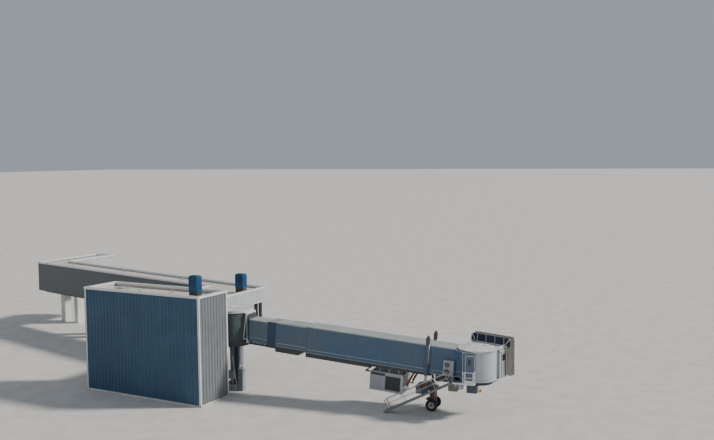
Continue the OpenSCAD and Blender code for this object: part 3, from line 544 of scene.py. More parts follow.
def dressRoofBox(name, node, x, y, z):
    # x and y are the middle of the cabinet, z the deck that it stands on
    w, d, h, p, r = (cabinetBlue[k] for k in ("wide", "deep", "high", "plinth", "corner"))

    def ring(inset):
        points = []
        for cx, cy, a0 in ((w / 2 - r, d / 2 - r, 0), (-w / 2 + r, d / 2 - r, 90),
                           (-w / 2 + r, -d / 2 + r, 180),
                           (w / 2 - r, -d / 2 + r, 270)):
            for i in range(7):
                a = math.radians(a0 + 15 * i)
                points.append((cx + (r - inset) * math.cos(a), cy + (r - inset) * math.sin(a)))
        return points
    bm = bmesh.new()
    for inset, z0, z1 in ((0, 600, 1130), (14, 1130, 1150), (0, 1150, h - 230), (16, h - 230, h - 205),
                          (0, h - 205, h - 150), (26, h - 150, h - 95), (70, h - 95, h - 45),
                          (130, h - 45, h)):
        addPlate(bm, [(x + a, y + b) for a, b in ring(inset)], z + z0, z + z1)
    finishPiece(name, bm, "ground", "fixed", surfaces["blue_cabinet"], 8, True, (node,))
    bm = bmesh.new()
    fields = []
    for side in (-1, 1):
        front = y + side * d / 2
        for x0, x1 in ((-w / 2 + 205, -45), (45, w / 2 - 205)):
            fields.append((x + x0, x + x1, *span(front, side * 7), z + 1180, z + h - 250))
            for i in range(8):
                addBox(bm, x + x0 + 20, x + x1 - 20, *span(front, side * 18), z + 1200 + i * 88,
                       z + 1238 + i * 88)
        addBox(bm, *span(x + side * w / 2, side * 14), y - 220, y + 220, z + 820, z + h - 260)
    finishPiece(name + "_louvres", bm, "ground", "fixed", slotBlue, 3)
    boxPiece(name + "_slots", fields, "ground", "fixed", slotBlue, 3)
    bm = bmesh.new()
    for inset, z0, z1 in ((34, p, 601), (60, 60, p), (20, 0, 60)):
        addPlate(bm, [(x + a, y + b) for a, b in ring(inset)], z + z0, z + z1)
    for side in (-1, 1):
        front = y + side * (d / 2 - 34)
        for i in range(4):
            addBox(bm, x - w / 2 + 220, x + w / 2 - 220, *span(front, side * 10), z + 270 + 75 * i,
                   z + 305 + 75 * i)
    finishPiece(name + "_base", bm, "ground", "fixed", surfaces["dark_steel"], 6)


dressRoofBox("tower_roof_cabinet", "roof_box_tower", -540, -5250, 10380)
dressRoofBox("hub_roof_cabinet", "roof_box_hub", -2760, 5300, 9100)

# Walkway fittings
walkway = dict(length=44190, width=3400, under=5290, floor=5500, ceiling=8800, roof=9100, top=9400,
               shortLegX=-45198)


def dressWalkway():
    long, wide = walkway["length"], walkway["width"]
    under, floorZ, ceiling, roof, top = (walkway[k] for k in ("under", "floor", "ceiling", "roof", "top"))
    bm = bmesh.new()
    for i in range(1, 15):  # felt seams across the roof deck, leg axes: y falls away from the near wall
        s = 7200 + (long - 8200) * i / 15
        addBox(bm, s - 55, s + 55, -wide + 240, -240, roof, roof + 10)
    finishPiece("walkway_roof_seams", bm, "leg", "fixed", surfaces["roof_felt"], 3)
    bm = bmesh.new()
    for i in range(9):
        s = 9000 + 4100 * i
        addRod(bm, (s, -900, roof), (s, -900, roof + 560), 24, 10)
        addBox(bm, s - 110, s + 110, -1010, -790, roof, roof + 18)
        if i % 3 == 1:  # a vent with its cap
            addRod(bm, (s + 900, -2300, roof), (s + 900, -2300, roof + 300), 110, 20)
            addRod(bm, (s + 900, -2300, roof + 310), (s + 900, -2300, roof + 380), 180, 20, 70)
    finishPiece("walkway_roof_line", bm, "leg", "fixed", surfaces["galvanised"], 0, True)
    bm = bmesh.new()
    for i in range(1, 12):
        s = 7000 + 3050 * i
        for y0, y1 in ((-262, 62), (-wide - 62, -wide + 262)):
            addBox(bm, s - 40, s + 40, y0, y1, top - 1, top + 7)
        addBox(bm, s - 40, s + 40, 58, 67, top - 205, top + 7)
    finishPiece("walkway_coping_straps", bm, "leg", "fixed", surfaces["flashing"], 2)
    bm = bmesh.new()  # steel edge channels and ribs under the floor, clear of the piers
    for s0, s1 in ((7000, 15000), (16900, 30900), (32800, 42500)):
        for y in (-420, -wide + 340):
            addBox(bm, s0, s1, y, y + 80, under - 180, under - 1)
        count = int((s1 - s0) / 1500)
        for k in range(count + 1):
            s = s0 + (s1 - s0) * k / count
            addBox(bm, s - 35, s + 35, -wide + 120, -120, under - 120, under - 1)
    finishPiece("walkway_floor_beams", bm, "leg", "fixed", surfaces["dark_steel"], 4)
    x0 = walkway["shortLegX"]
    railZ = floorZ + 950
    bm = bmesh.new()
    # handrails inside the open end
    for railX, wallX in ((x0 + 240, x0 + 160), (x0 + wide - 240, x0 + wide - 160)):
        addRod(bm, (railX, 14700, railZ), (railX, 25500, railZ), 22, 10)
        for i in range(8):
            y = 14900 + 1500 * i
            addRod(bm, (railX, y, railZ), (wallX, y, railZ - 20), 12, 8)
    finishPiece("walkway_handrails", bm, "ground", "fixed", surfaces["galvanised"], 0, True)
    lights = [(x0 + wide / 2 - 90, x0 + wide / 2 + 90, 15200 + 2600 * i, 16600 + 2600 * i, ceiling - 60,
               ceiling - 1)
              for i in range(4)]
    boxPiece("walkway_ceiling_lights", lights, "ground", "fixed", lampGlass, 10)
    ribs = [(x0 + 940, x0 + wide - 940, 14960 + 300 * i, 15010 + 300 * i, floorZ + 4, floorZ + 8)
            for i in range(35)]
    boxPiece("walkway_floor_strip", [(x0 + 900, x0 + wide - 900, 14900, 25580, floorZ + 1, floorZ + 5)] + ribs,
             "ground", "fixed", rubber, 2)
    head = floorZ + 2200
    boxPiece("second_doorway_frame",
             [(-1950, -1925, 6420, 6500, floorZ, head + 80), (-1950, -1925, 8100, 8180, floorZ, head + 80),
              (-1950, -1925, 6420, 8180, head, head + 80), (-1950, -1900, 7240, 7320, floorZ, head),
              (-1950, -1850, 6400, 8200, floorZ - 60, floorZ)], "ground", "fixed",
             surfaces["flashing"], 4)


dressWalkway()
print("stage: tower and walkway dressed")

# Rotunda
rotunda = dict(radius=2120, ceiling=8250, top=8470, drum=4800, drumRadius=1965, column=360, base=598,
               frameHalf=960,
               pipe=(1390, -420))


def dressRotunda():
    r, top, drum, drumR, column, base = (
        rotunda[k] for k in ("radius", "top", "drum", "drumRadius", "column", "base"))
    bm = bmesh.new()
    flat = Matrix.Identity(4)
    addTurned(bm, [(r - 60, top + 1), (r + 8, top + 1), (r + 8, top + 40), (r - 60, top + 30)], flat, 72)
    for i in range(12):
        addRod(bm, onCircle(250, 15 + 30 * i, top + 10), onCircle(r - 40, 15 + 30 * i, top + 10), 14, 6)
    addRod(bm, (0, 0, top), (0, 0, top + 90), 260, 24, 120)
    finishPiece("rotunda_roof_ribs", bm, "ground", "fixed", surfaces["cab_roofing"], 0, True)
    bm = bmesh.new()
    for i in range(12):  # foundation bolts with their nuts
        foot = onCircle(470, 30 * i, base)
        addRod(bm, foot, (*foot[:2], base + 62), 24, 6)
        addRod(bm, foot, (*foot[:2], base + 92), 12, 8)
    for i in range(8):  # gussets
        turn = Matrix.Rotation(math.radians(45 * i + 22.5), 4, "Z")
        made = addBox(bm, 362, 620, -10, 10, 600, 900)
        for v in made:
            if v.co.z > 800 and v.co.x > 500:
                v.co.x = 372
            v.co = turn @ v.co
    for z in (1700, 3000, 4300):
        addTurned(bm, [(column, z), (column + 25, z), (column + 25, z + 60), (column, z + 60)], flat, 40)
    finishPiece("rotunda_column_fittings", bm, "ground", "fixed", surfaces["column_paint"], 0,
                True)
    bm = bmesh.new()
    for z, high, proud in ((drum + 30, 70, 25), (drum + 380, 60, 27)):
        addTurned(bm, [(drumR, z), (drumR + proud, z), (drumR + proud, z + high), (drumR, z + high)], flat, 72)
    for i in range(24):
        addRod(bm, onCircle(drumR - 5, 15 * i, drum + 100), onCircle(drumR - 5, 15 * i, drum + 380), 22, 6)
    finishPiece("rotunda_drum_ribs", bm, "ground", "fixed", surfaces["dark_steel"], 0, True)
    bm = bmesh.new()  # service boxes on the near side of the column
    addBox(bm, 930, 1520, -560, -60, 640, 2250)
    addBox(bm, 918, 1532, -575, -45, 2250, 2290)
    addBox(bm, 955, 1215, -575, -558, 700, 2190)
    addBox(bm, 1235, 1495, -575, -558, 700, 2190)
    addBox(bm, 900, 1550, -590, -30, 0, 645)
    for z in (1100, 1900):
        addBox(bm, 355, 935, -120, -70, z, z + 60)
    finishPiece("rotunda_service_box", bm, "ground", "fixed", surfaces["column_paint"], 8)
    bm = bmesh.new()
    addBox(bm, -190, 430, -640, -340, 1130, 1990)
    addBox(bm, -202, 442, -655, -330, 1990, 2025)
    addBox(bm, -150, 390, -652, -638, 1190, 1930)
    addRod(bm, (120, -470, 540), (120, -470, 1135), 60, 16)
    finishPiece("rotunda_junction_box", bm, "ground", "fixed", surfaces["cab_skin"], 8)
    bm = bmesh.new()
    px, py = rotunda["pipe"]
    addRod(bm, (px, py, 2765), (px, py, 4790), 175, 28)
    for z in (2900, 3850, 4650):
        addTurned(bm, [(173, z), (196, z), (196, z + 55), (173, z + 55)], Matrix.Translation((px, py, 0)), 28)
    addBox(bm, px - 330, px + 170, py - 150, py + 250, 2290, 2500)
    addRod(bm, (px, py, 2500), (px, py, 2770), 95, 16)
    for z in (3100, 4500):
        addBox(bm, 330, px, -215, -150, z, z + 60)
        addBox(bm, px - 60, px, py, -155, z, z + 60)
    addRod(bm, (130, -400, 3480), (625, -400, 660), 48, 12)
    finishPiece("rotunda_conduit", bm, "ground", "fixed", pipeWhite, 0, True)
    collars = [(335, 912, -342, -50, z, z + 60) for z in (1500, 3000, 4400)]
    boxPiece("rotunda_duct", [(345, 900, -330, -60, 625, 4795), *collars, (420, 820, -338, -328, 1650, 2900)],
             "ground", "fixed", surfaces["lift_paint"], 6)
    bm = bmesh.new()
    for start, end in ((66, 156), (204, 307)):
        count = int((end - start) / 2.25)
        for i in range(count):
            a = start + (end - start) * (i + 0.5) / count
            addRod(bm, onCircle(r - 28, a, drum + 500), onCircle(r - 28, a, rotunda["ceiling"] - 50), 7, 6)
    finishPiece("rotunda_curtain_slats", bm, "ground", "fixed", surfaces["curtain"], 0)
    half = rotunda["frameHalf"]
    boxPiece("swing_side_panels", [(1530, 2160, -half - 3, -half + 1, 5580, 8210),
                                   (1530, 2160, half - 1, half + 3, 5580, 8210)],
             "swing", "turret", deepGreen, 0)
    bm = bmesh.new()  # slim white straps set in a V on each side
    for side in (-1, 1):
        y = side * (half + 5)
        for start, end in (((1570, y, 8200), (1700, y, 5600)), ((2125, y, 8200), (1770, y, 5600))):
            for v in addRod(bm, start, end, 46, 4):
                v.co.y = y + (v.co.y - y) * 0.09
    finishPiece("swing_side_straps", bm, "swing", "turret", surfaces["frame_white"])
    boxPiece("swing_frame_posts", [(2170, 2196, -half - 8, -half + 90, 5560, 8200),
                                   (2170, 2196, half - 90, half + 8, 5560, 8200),
                                   (2170, 2196, -half, half, 8090, 8225)], "swing", "turret",
             surfaces["frame_white"], 6)


dressRotunda()

# Tunnels: x along the tunnel from the slope hinge, z square to it
sections = {
    "a": dict(start=20, end=13520, half=860, low=220, high=2420, proud=12, seamHigh=22, body="section_a"),
    "b": dict(start=3150, end=17050, half=970, low=110, high=2530, proud=12, seamHigh=22, body="section_b"),
    "c": dict(start=6550, end=21850, half=1080, low=0, high=2640, proud=22, seamHigh=46, body="section_c"),
}
seamPitch = 1150  # between the roof seams and between the ribs of the walls


def dressTunnel(name):
    s = sections[name]
    x0, x1, half, low, high, proud = (s[k] for k in ("start", "end", "half", "low", "high", "proud"))
    n = int((x1 - x0) / seamPitch)
    seams = [x0 + 60 + (x1 - x0 - 120) * i / n for i in range(n + 1)]
    roof, rails, ribs = bmesh.new(), bmesh.new(), bmesh.new()
    addBox(roof, x0 + 5, x1 - 5, -half - proud + 3, half + proud - 3, high + 1, high + 12)
    for x in seams:
        addBox(roof, x - 22, x + 22, -half - 4, half + 4, high + 11, high + s["seamHigh"])
    for side in (-1, 1):
        addBox(roof, x0 + 5, x1 - 5, *span(side * (half + 2), side * (proud - 4)), high - 90, high + 12)
        for z0, z1 in ((low + 2, low + 30), (low + 330, low + 365)):
            addBox(rails, x0 + 8, x1 - 8, *span(side * half, side * proud), z0, z1)
        for x in seams:
            addBox(ribs, x - 16, x + 16, *span(side * half, side * 8), low + 366, high - 92)
        addBox(ribs, x0 + 4, x1 - 4, *span(side * half, side * 9), low + 32, low + 329)
        for x in (x0 + 2, x1 - 142):  # end frames
            addBox(ribs, x, x + 140, *span(side * half, side * (proud + 3)), low - 8, high - 90)
    finishPiece("tunnel_%s_roof_sheet" % name, roof, "tunnel", s["body"], roofSheet, 3)
    finishPiece("tunnel_%s_side_rails" % name, rails, "tunnel", s["body"],
                surfaces["galvanised"], 3)
    finishPiece("tunnel_%s_panel_ribs" % name, ribs, "tunnel", s["body"],
                surfaces["tunnel_skin"], 3)
    if name != "a":
        return
    bm = bmesh.new()  # handrails and lights stand inside the innermost tunnel alone
    wall, railZ = half - 60, low + 1050
    for side in (-1, 1):
        y = side * (wall - 60)
        addRod(bm, (x0 + 100, y, railZ), (x1 - 100, y, railZ), 20, 8)
        for i in range(0, n + 1, 2):
            x = x0 + 140 + (x1 - x0 - 280) * i / n
            addRod(bm, (x, y, railZ), (x, side * wall, railZ - 20), 10, 6)
    finishPiece("tunnel_a_handrails", bm, "tunnel", s["body"], surfaces["galvanised"], 0, True)
    lights = [(x0 + 900 + 2600 * i, x0 + 2100 + 2600 * i, -80, 80, high - 105, high - 62) for i in range(5)]
    boxPiece("tunnel_a_lights", lights, "tunnel", s["body"], lampGlass, 8)


for letter in sections:
    dressTunnel(letter)

# Dark navy collar at the mouth of tunnel B, painted shade for the shadow that B casts on tunnel A, and the
# frames that hang under the tunnels
shadeCollar = dict(start=2200, end=3150, half=965, wall=60, low=130, high=2522)
boxPiece("tunnel_b_shade_collar",
         [(shadeCollar["start"], shadeCollar["end"], *span(side * shadeCollar["half"], -side * shadeCollar["wall"]), shadeCollar["low"],
           shadeCollar["high"] - 52)
          for side in (-1, 1)]
         + [(shadeCollar["start"], shadeCollar["end"], -shadeCollar["half"], shadeCollar["half"], shadeCollar["high"] - shadeCollar["wall"],
             shadeCollar["high"])],
         "tunnel", "section_b", shadeCollarNavy, 8)
boxPiece("tunnel_a_foot_beams", [(230, 2300, -856, -740, -140, 218), (230, 2300, 740, 856, -140, 218),
                                 (230, 360, -800, 800, -140, 218), (1700, 1830, -800, 800, -140, 218)],
         "tunnel", "section_a", surfaces["dark_steel"], 6)
boxPiece("tunnel_a_walkway_clips",
         [(500 + 420 * i, 780 + 420 * i, y, y + 14, 90, 128) for i in range(4) for y in (-868, 854)],
         "tunnel", "section_a", surfaces["frame_white"], 3)
boxPiece("tunnel_b_foot_beams", [(3160, 5780, -966, -850, -450, 108), (3160, 5780, 850, 966, -450, 108),
                                 (2205, 3165, -966, -902, -140, 129), (2205, 3165, 902, 966, -140, 129),
                                 (3160, 3300, -900, 900, -450, 108), (4400, 4500, -900, 900, -450, 108),
                                 (5640, 5780, -900, 900, -450, 108)],
         "tunnel", "section_b", surfaces["dark_steel"], 6)
boxPiece("tunnel_c_foot_beams", [(6600, 18900, -1072, -964, -260, -1), (6600, 18900, 964, 1072, -260, -1),
                                 (6600, 13450, -1072, -990, -440, -255), (6600, 13450, 990, 1072, -440, -255)]
         + [(6600 + 1690 * i, 6700 + 1690 * i, -1000, 1000, -440, -301) for i in range(5)],
         "tunnel", "section_c", surfaces["dark_steel"], 6)
boxPiece("tunnel_b_roof_guides", [(4350, 5150, -760, -700, 2541, 2562), (5350, 6450, -760, -700, 2541, 2562),
                                  (4350, 6450, 700, 760, 2541, 2562)], "tunnel", "section_b",
         surfaces["dark_steel"], 3)


# Pleated hood between the turning frame and tunnel A: half, top, corner and foot of its two end lines
hinge = dict(frameX=2192, frameLine=(878, 8062, 110, 5600), tunnelX=24, tunnelLine=(846, 2424, 110, 250),
             pleats=4,
             deep=24, steps=40)


def dressHinge():
    scale = Matrix.Scale(mm, 4)
    frameEnd = (places["tunnel"] @ scale).inverted() @ places["swing"] @ scale
    near, far = bowLine(*hinge["frameLine"]), bowLine(*hinge["tunnelLine"])
    rings = []
    for k in range(hinge["steps"] + 1):
        t = k / hinge["steps"]
        fold = hinge["deep"] * abs(math.sin(math.pi * hinge["pleats"] * t)) ** 0.7
        ring = []
        for i in range(len(near)):
            p = (frameEnd @ Vector((hinge["frameX"], *near[i]))).lerp(Vector((hinge["tunnelX"], *far[i])), t)
            ring.append(p + Vector((0, *outward(far, i))) * (fold - 4))
        rings.append(ring)
    piece = clothPiece("hinge_hood", rings, "tunnel", None, hingeCloth, 8)
    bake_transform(piece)


dressHinge()
print("stage: rotunda and tunnels dressed")

# Lift
lift = dict(x=19150, off=1240, side=280, top=3340, low=-250)


def dressLift():
    x, off, half, top, low = lift["x"], lift["off"], lift["side"] / 2, lift["top"], lift["low"]
    strips, collars = [], []
    heads = bmesh.new()
    for side in (-1, 1):
        y = side * off
        # painted highlight: a white strip down the +x face of each column, the face turned to the sun
        strips.append((x + half + 2, x + half + 26, y - half + 8, y + half - 8, 900, top - 640))
        addBox(heads, x - half - 26, x + half + 26, y - half - 26, y + half + 26, top - 560, top + 40)
        addRod(heads, (x, y, top + 40), (x, y, top + 190), 105, 20)
        addRod(heads, (x, y, top + 190), (x, y, top + 240), 105, 20, 40)
        for z in (low + 20, 640, 2700):
            for a, b in ((-half - 14, -half + 2), (half - 2, half + 14)):
                collars.append((x + a, x + b, y - half - 14, y + half + 14, z, z + 70))
                collars.append((x - half, x + half, y + a, y + b, z, z + 70))
    boxPiece("lift_column_highlight_strips", strips, "tunnel", "section_c", surfaces["frame_white"], 4)
    finishPiece("lift_heads", heads, "tunnel", "section_c", headBrown, 8, True)
    boxPiece("lift_collars", collars, "tunnel", "section_c", surfaces["lift_paint"], 5)
    bodies, rods = bmesh.new(), bmesh.new()  # twin rams beside each leg, from the column's collar
    for side in (-1, 1):
        ramY = side * (off - 210)
        for ramX in (x - 60, x + 60):
            addRod(bodies, (ramX, ramY, -240), (ramX, ramY, 900), 42, 16)
            addBox(bodies, ramX - 50, ramX + 50, ramY - 50, ramY + 50, 860, 960)
            addRod(rods, (ramX, ramY, -860), (ramX, ramY, 100), 24, 14)
        addBox(rods, x - 120, x + 120, *span(side * (off - 260), side * 139), -885, -840)
    finishPiece("lift_ram_bodies", bodies, "tunnel", "section_c", surfaces["dark_steel"], 4,
                True)
    finishPiece("lift_ram_rods", rods, "tunnel", "lift_legs", surfaces["leg_steel"], 3, True)


dressLift()

# Bogie and wheels: x along the tunnel, level
bogie = dict(track=1300, radius=560, width=380, rim=330, ring=1800)
quarterX = Matrix.Rotation(math.radians(90), 4, "X")


def makeWheel(name, node, side):
    bm = bmesh.new()
    r, w, rim = bogie["radius"], bogie["width"] / 2, bogie["rim"]
    axle = Matrix.Translation((0, side * bogie["track"] / 2, r)) @ quarterX
    profile = [(rim, -w + 40), (rim + 30, -w + 8), (r - 120, -w), (r - 45, -w + 12), (r - 8, -w + 50),
               (r, -w + 80),
               (r, w - 80), (r - 8, w - 50), (r - 45, w - 12), (r - 120, w), (rim + 30, w - 8), (rim, w - 40)]
    addTurned(bm, profile, axle, 72)
    for k in range(36):  # tread blocks, two staggered rows
        for row in (-1, 1):
            turn = axle @ Matrix.Rotation(math.radians(10 * k + (5 if row > 0 else 0)), 4, "Z")
            made = addBox(bm, r - 18, r - 0.5, -20, 20, *span(row * 12, row * 106))
            for v in made:
                v.co = turn @ v.co
    finishPiece(name, bm, "bogie", node, surfaces["tyre"], 0, True, (node,))
    bm = bmesh.new()
    disc = [(92, -70), (150, -70), (175, -30), (250, -26), (300, -60), (rim - 4, -w + 60), (rim + 6, -w + 44),
            (rim + 6, w - 44), (rim - 4, w - 60), (300, 20), (250, 12), (175, 8), (150, 60), (92, 60)]
    addTurned(bm, disc, axle, 60)
    for i in range(10):
        addRod(bm, axle @ Vector(onCircle(205, 36 * i, -34)), axle @ Vector(onCircle(205, 36 * i, 34)), 17, 6)
    finishPiece(name + "_rim", bm, "bogie", node, surfaces["galvanised"], 0, True)


makeWheel("tyre_near", "wheel_near", -1)
makeWheel("tyre_far", "wheel_far", 1)


def dressBogie():
    bm = bmesh.new()
    for side in (-1, 1):
        addRod(bm, (0, side * 851, 560), (0, side * 862, 560), 80, 20)
        addBox(bm, -330, -252, side * 200 - 90, side * 200 + 90, 760, 1150)  # drive motor on its bracket
        addRod(bm, (-430, side * 200, 980), (-330, side * 200, 980), 90, 20)
        addRod(bm, (-640, side * 200, 980), (-430, side * 200, 980), 105, 20)
    for i in range(16):  # bolts of the steering ring
        addRod(bm, onCircle(330, 22.5 * i, bogie["ring"]), onCircle(330, 22.5 * i, bogie["ring"] + 29), 18, 6)
    addBox(bm, 252, 420, -160, 160, 700, 760)
    addBox(bm, 252, 290, -240, 240, 620, 1240)
    finishPiece("bogie_drives", bm, "bogie", "bogie", surfaces["bogie_paint"], 5, True)
    bm = bmesh.new()
    beamS = bogieS - 450
    for x in (-1000, -620, -330):
        addBox(bm, beamS + x, beamS + x + 26, -712, 712, 1600, 2330)
    addBox(bm, beamS - 1090, beamS - 225, -716, -698, 1640, 2290)
    for i in range(7):
        addBox(bm, beamS - 960, beamS - 520, -728, -714, 1720 + 70 * i, 1755 + 70 * i)
    for side in (-1, 1):
        addBox(bm, beamS - 235, beamS + 235, *span(side * 1372, side * 18), 1960, 2340)
        addBox(bm, beamS + 216, beamS + 236, *span(side * 500, side * 840), 1990, 2310)
    finishPiece("drive_box_panels", bm, "swing", "lift_beam", surfaces["lift_paint"], 5)
    bm = bmesh.new()  # raking stays from the beam to the drive box, in primer
    for y in (-980, 980):
        addRod(bm, (beamS - 150, y, 2340), (beamS - 900, y * 0.7, 2345), 55, 12)
    loop = ((500, -470, 2250), (760, -560, 2080), (820, -640, 1800), (700, -660, 1620), (560, -600, 1700),
            (560, -500, 1960))
    addTube(bm, [Vector((beamS + x, y, z)) for x, y, z in loop], 24, 8)
    finishPiece("beam_stays", bm, "swing", "lift_beam", redOxide, 0, True)


dressBogie()

# Hung cabinet: x along the tunnel, its near side at y -1060
hung = dict(x=13550, length=3300, top=-720, low=-2460, near=-1060, far=1060)


def dressCabinet():
    x, long, top, low = hung["x"], hung["length"], hung["top"], hung["low"]
    nearY, farY = hung["near"], hung["far"]
    boxPiece("cabinet_doors", [(x + 140, x + 1480, nearY - 16, nearY + 2, low + 170, top - 330),
                               (x + 140, x + 1480, farY - 2, farY + 16, low + 170, top - 330)], "tunnel",
             "section_c",
             mauve, 6,
             rods=[((x + 780, nearY - 20, low + 700), (x + 780, nearY - 20, low + 980), 14, 8),
                   ((x + 780, farY + 20, low + 700), (x + 780, farY + 20, low + 980), 14, 8)])
    bm = bmesh.new()
    for side, y in ((-1, nearY), (1, farY)):
        addBox(bm, x + 1560, x + 3080, *span(y, side * 8), low + 150, top - 250)
        for i in range(15):
            z = low + 190 + 84 * i
            addBox(bm, x + 1600, x + 3040, *span(y, side * 20), z, z + 34)
        addBox(bm, x + 60, x + 1500, *span(y, side * 12), top - 290, top - 40)
    finishPiece("cabinet_louvres", bm, "tunnel", "section_c", surfaces["dark_steel"], 3)
    bars = []
    for side, y in ((-1, nearY), (1, farY)):
        a, b = span(y - side * 2, side * 32)
        bars += [(x + 3120, x + 3318, a, b, low - 30, top + 10), (x - 20, x + 3320, a, b, low - 60, low + 40),
                 (x - 18, x + 60, a, b, low - 30, top + 10), (x - 20, x + 3320, a, b, top - 10, top + 50)]
    bars += [(x - 20, x + 60, nearY, farY, low - 60, low), (x + 3240, x + 3320, nearY, farY, low - 60, low)]
    boxPiece("cabinet_frame", bars, "tunnel", "section_c", surfaces["galvanised"], 4)
    boxPiece("cabinet_bracket", [(x - 560, x - 20, nearY - 10, nearY + 120, top - 120, top + 10),
                                 (x - 560, x - 20, farY - 120, farY + 10, top - 120, top + 10),
                                 (x - 560, x - 470, nearY, farY, top - 110, top - 10)],
             "tunnel", "section_c", redOxide, 5)
    bm = bmesh.new()
    for y in (-1000, 1000):
        addRod(bm, (x + 4310, y, -300), (x + 3690, y, -1600), 105, 20)
        addBox(bm, x + 4250, x + 4450, y - 80, y + 60, -330, -262)
    finishPiece("cabinet_struts", bm, "tunnel", "section_c", redOxide, 0, True)
    brackets = [(x + long, x + long + 60, -1050, 1050, low + 540, low + 720)]
    for y in (-1000, 1000):
        brackets += [(x + long, x + 3800, y - 60, y + 60, low + 560, low + 700),
                     (x + 3620, x + 3800, y - 70, y + 70, low + 560, low + 960)]
    boxPiece("cabinet_end_brackets", brackets, "tunnel", "section_c", surfaces["flashing"], 6)
    bm = bmesh.new()
    for y in (-620, -540, 560):
        addTube(bm, [Vector((x + long - 10, y, top - 300)), Vector((x + long + 180, y, top - 300)),
                     Vector((x + long + 180, y, -290))], 30, 10)
    finishPiece("cabinet_conduits", bm, "tunnel", "section_c", surfaces["galvanised"], 0, True)


dressCabinet()

# Cooling unit: two fans on its near face
cooler = dict(x0=20800, x1=21790, near=-1430, wall=-1081, low=120, high=1520, fans=(500, 1140))


def dressCooler():
    x0, x1, y, low, high = (cooler[k] for k in ("x0", "x1", "near", "low", "high"))
    guards, fans = bmesh.new(), bmesh.new()
    pitchOfBlade = Matrix.Rotation(math.radians(18), 4, "X")
    for z in cooler["fans"]:
        turn = Matrix.Translation((x0 + 370, y - 2, z)) @ quarterX
        addTurned(guards, [(250, -4), (292, -4), (292, 26), (270, 32), (250, 20)], turn, 40)
        for r in (60, 120, 180, 240):
            addTurned(guards, [(r, 20), (r + 9, 20), (r + 9, 28), (r, 28)], turn, 40)
        for i in range(8):
            addRod(guards, turn @ Vector(onCircle(30, 45 * i, 25)), turn @ Vector(onCircle(265, 45 * i, 25)),
                   5, 6)
        turn = Matrix.Translation((x0 + 370, y - 1, z)) @ quarterX
        addTurned(fans, [(2, 0), (252, 0), (252, 6), (2, 6)], turn, 40)
        for i in range(5):
            blade = turn @ Matrix.Rotation(math.radians(72 * i), 4, "Z") @ pitchOfBlade
            for v in addBox(fans, 40, 240, -45, 45, 7, 12):
                v.co = blade @ v.co
    finishPiece("cooler_guards", guards, "tunnel", "section_c", surfaces["galvanised"], 0, True)
    finishPiece("cooler_fans", fans, "tunnel", "section_c", rubber, 0, True)
    boxPiece("cooler_panels", [(x0 + 700, x1 - 20, y - 12, y + 2, low + 60, high - 60),
                               (x0 - 12, x0 + 2, y + 40, cooler["wall"] - 39, low + 60, high - 60),
                               (x0 - 14, x1 + 14, y - 14, cooler["wall"] - 4, high, high + 26)]
             + [(x0 + 740, x1 - 60, y - 18, y - 8, low + 120 + 60 * i, low + 145 + 60 * i) for i in range(10)],
             "tunnel", "section_c", surfaces["equipment"], 5,
             rods=[((x1 - 80, y + 60, low), (x1 - 80, y + 60, low - 330), 22, 8),
                   ((x1 - 150, y + 60, low), (x1 - 150, y + 60, low - 330), 16, 8)])


dressCooler()
print("stage: lift, bogie and equipment dressed")

# Landing and service stair
landing = dict(x0=-1700, x1=300, y0=-2760, wall=-1905, z=-200, rail=1100, gate=(-590, 225), bars=40)
stair = dict(length=7250, width=640, treads=27, rail=1000, slope=27, posts=(-6730, -5040, -3350, -1660, -170))


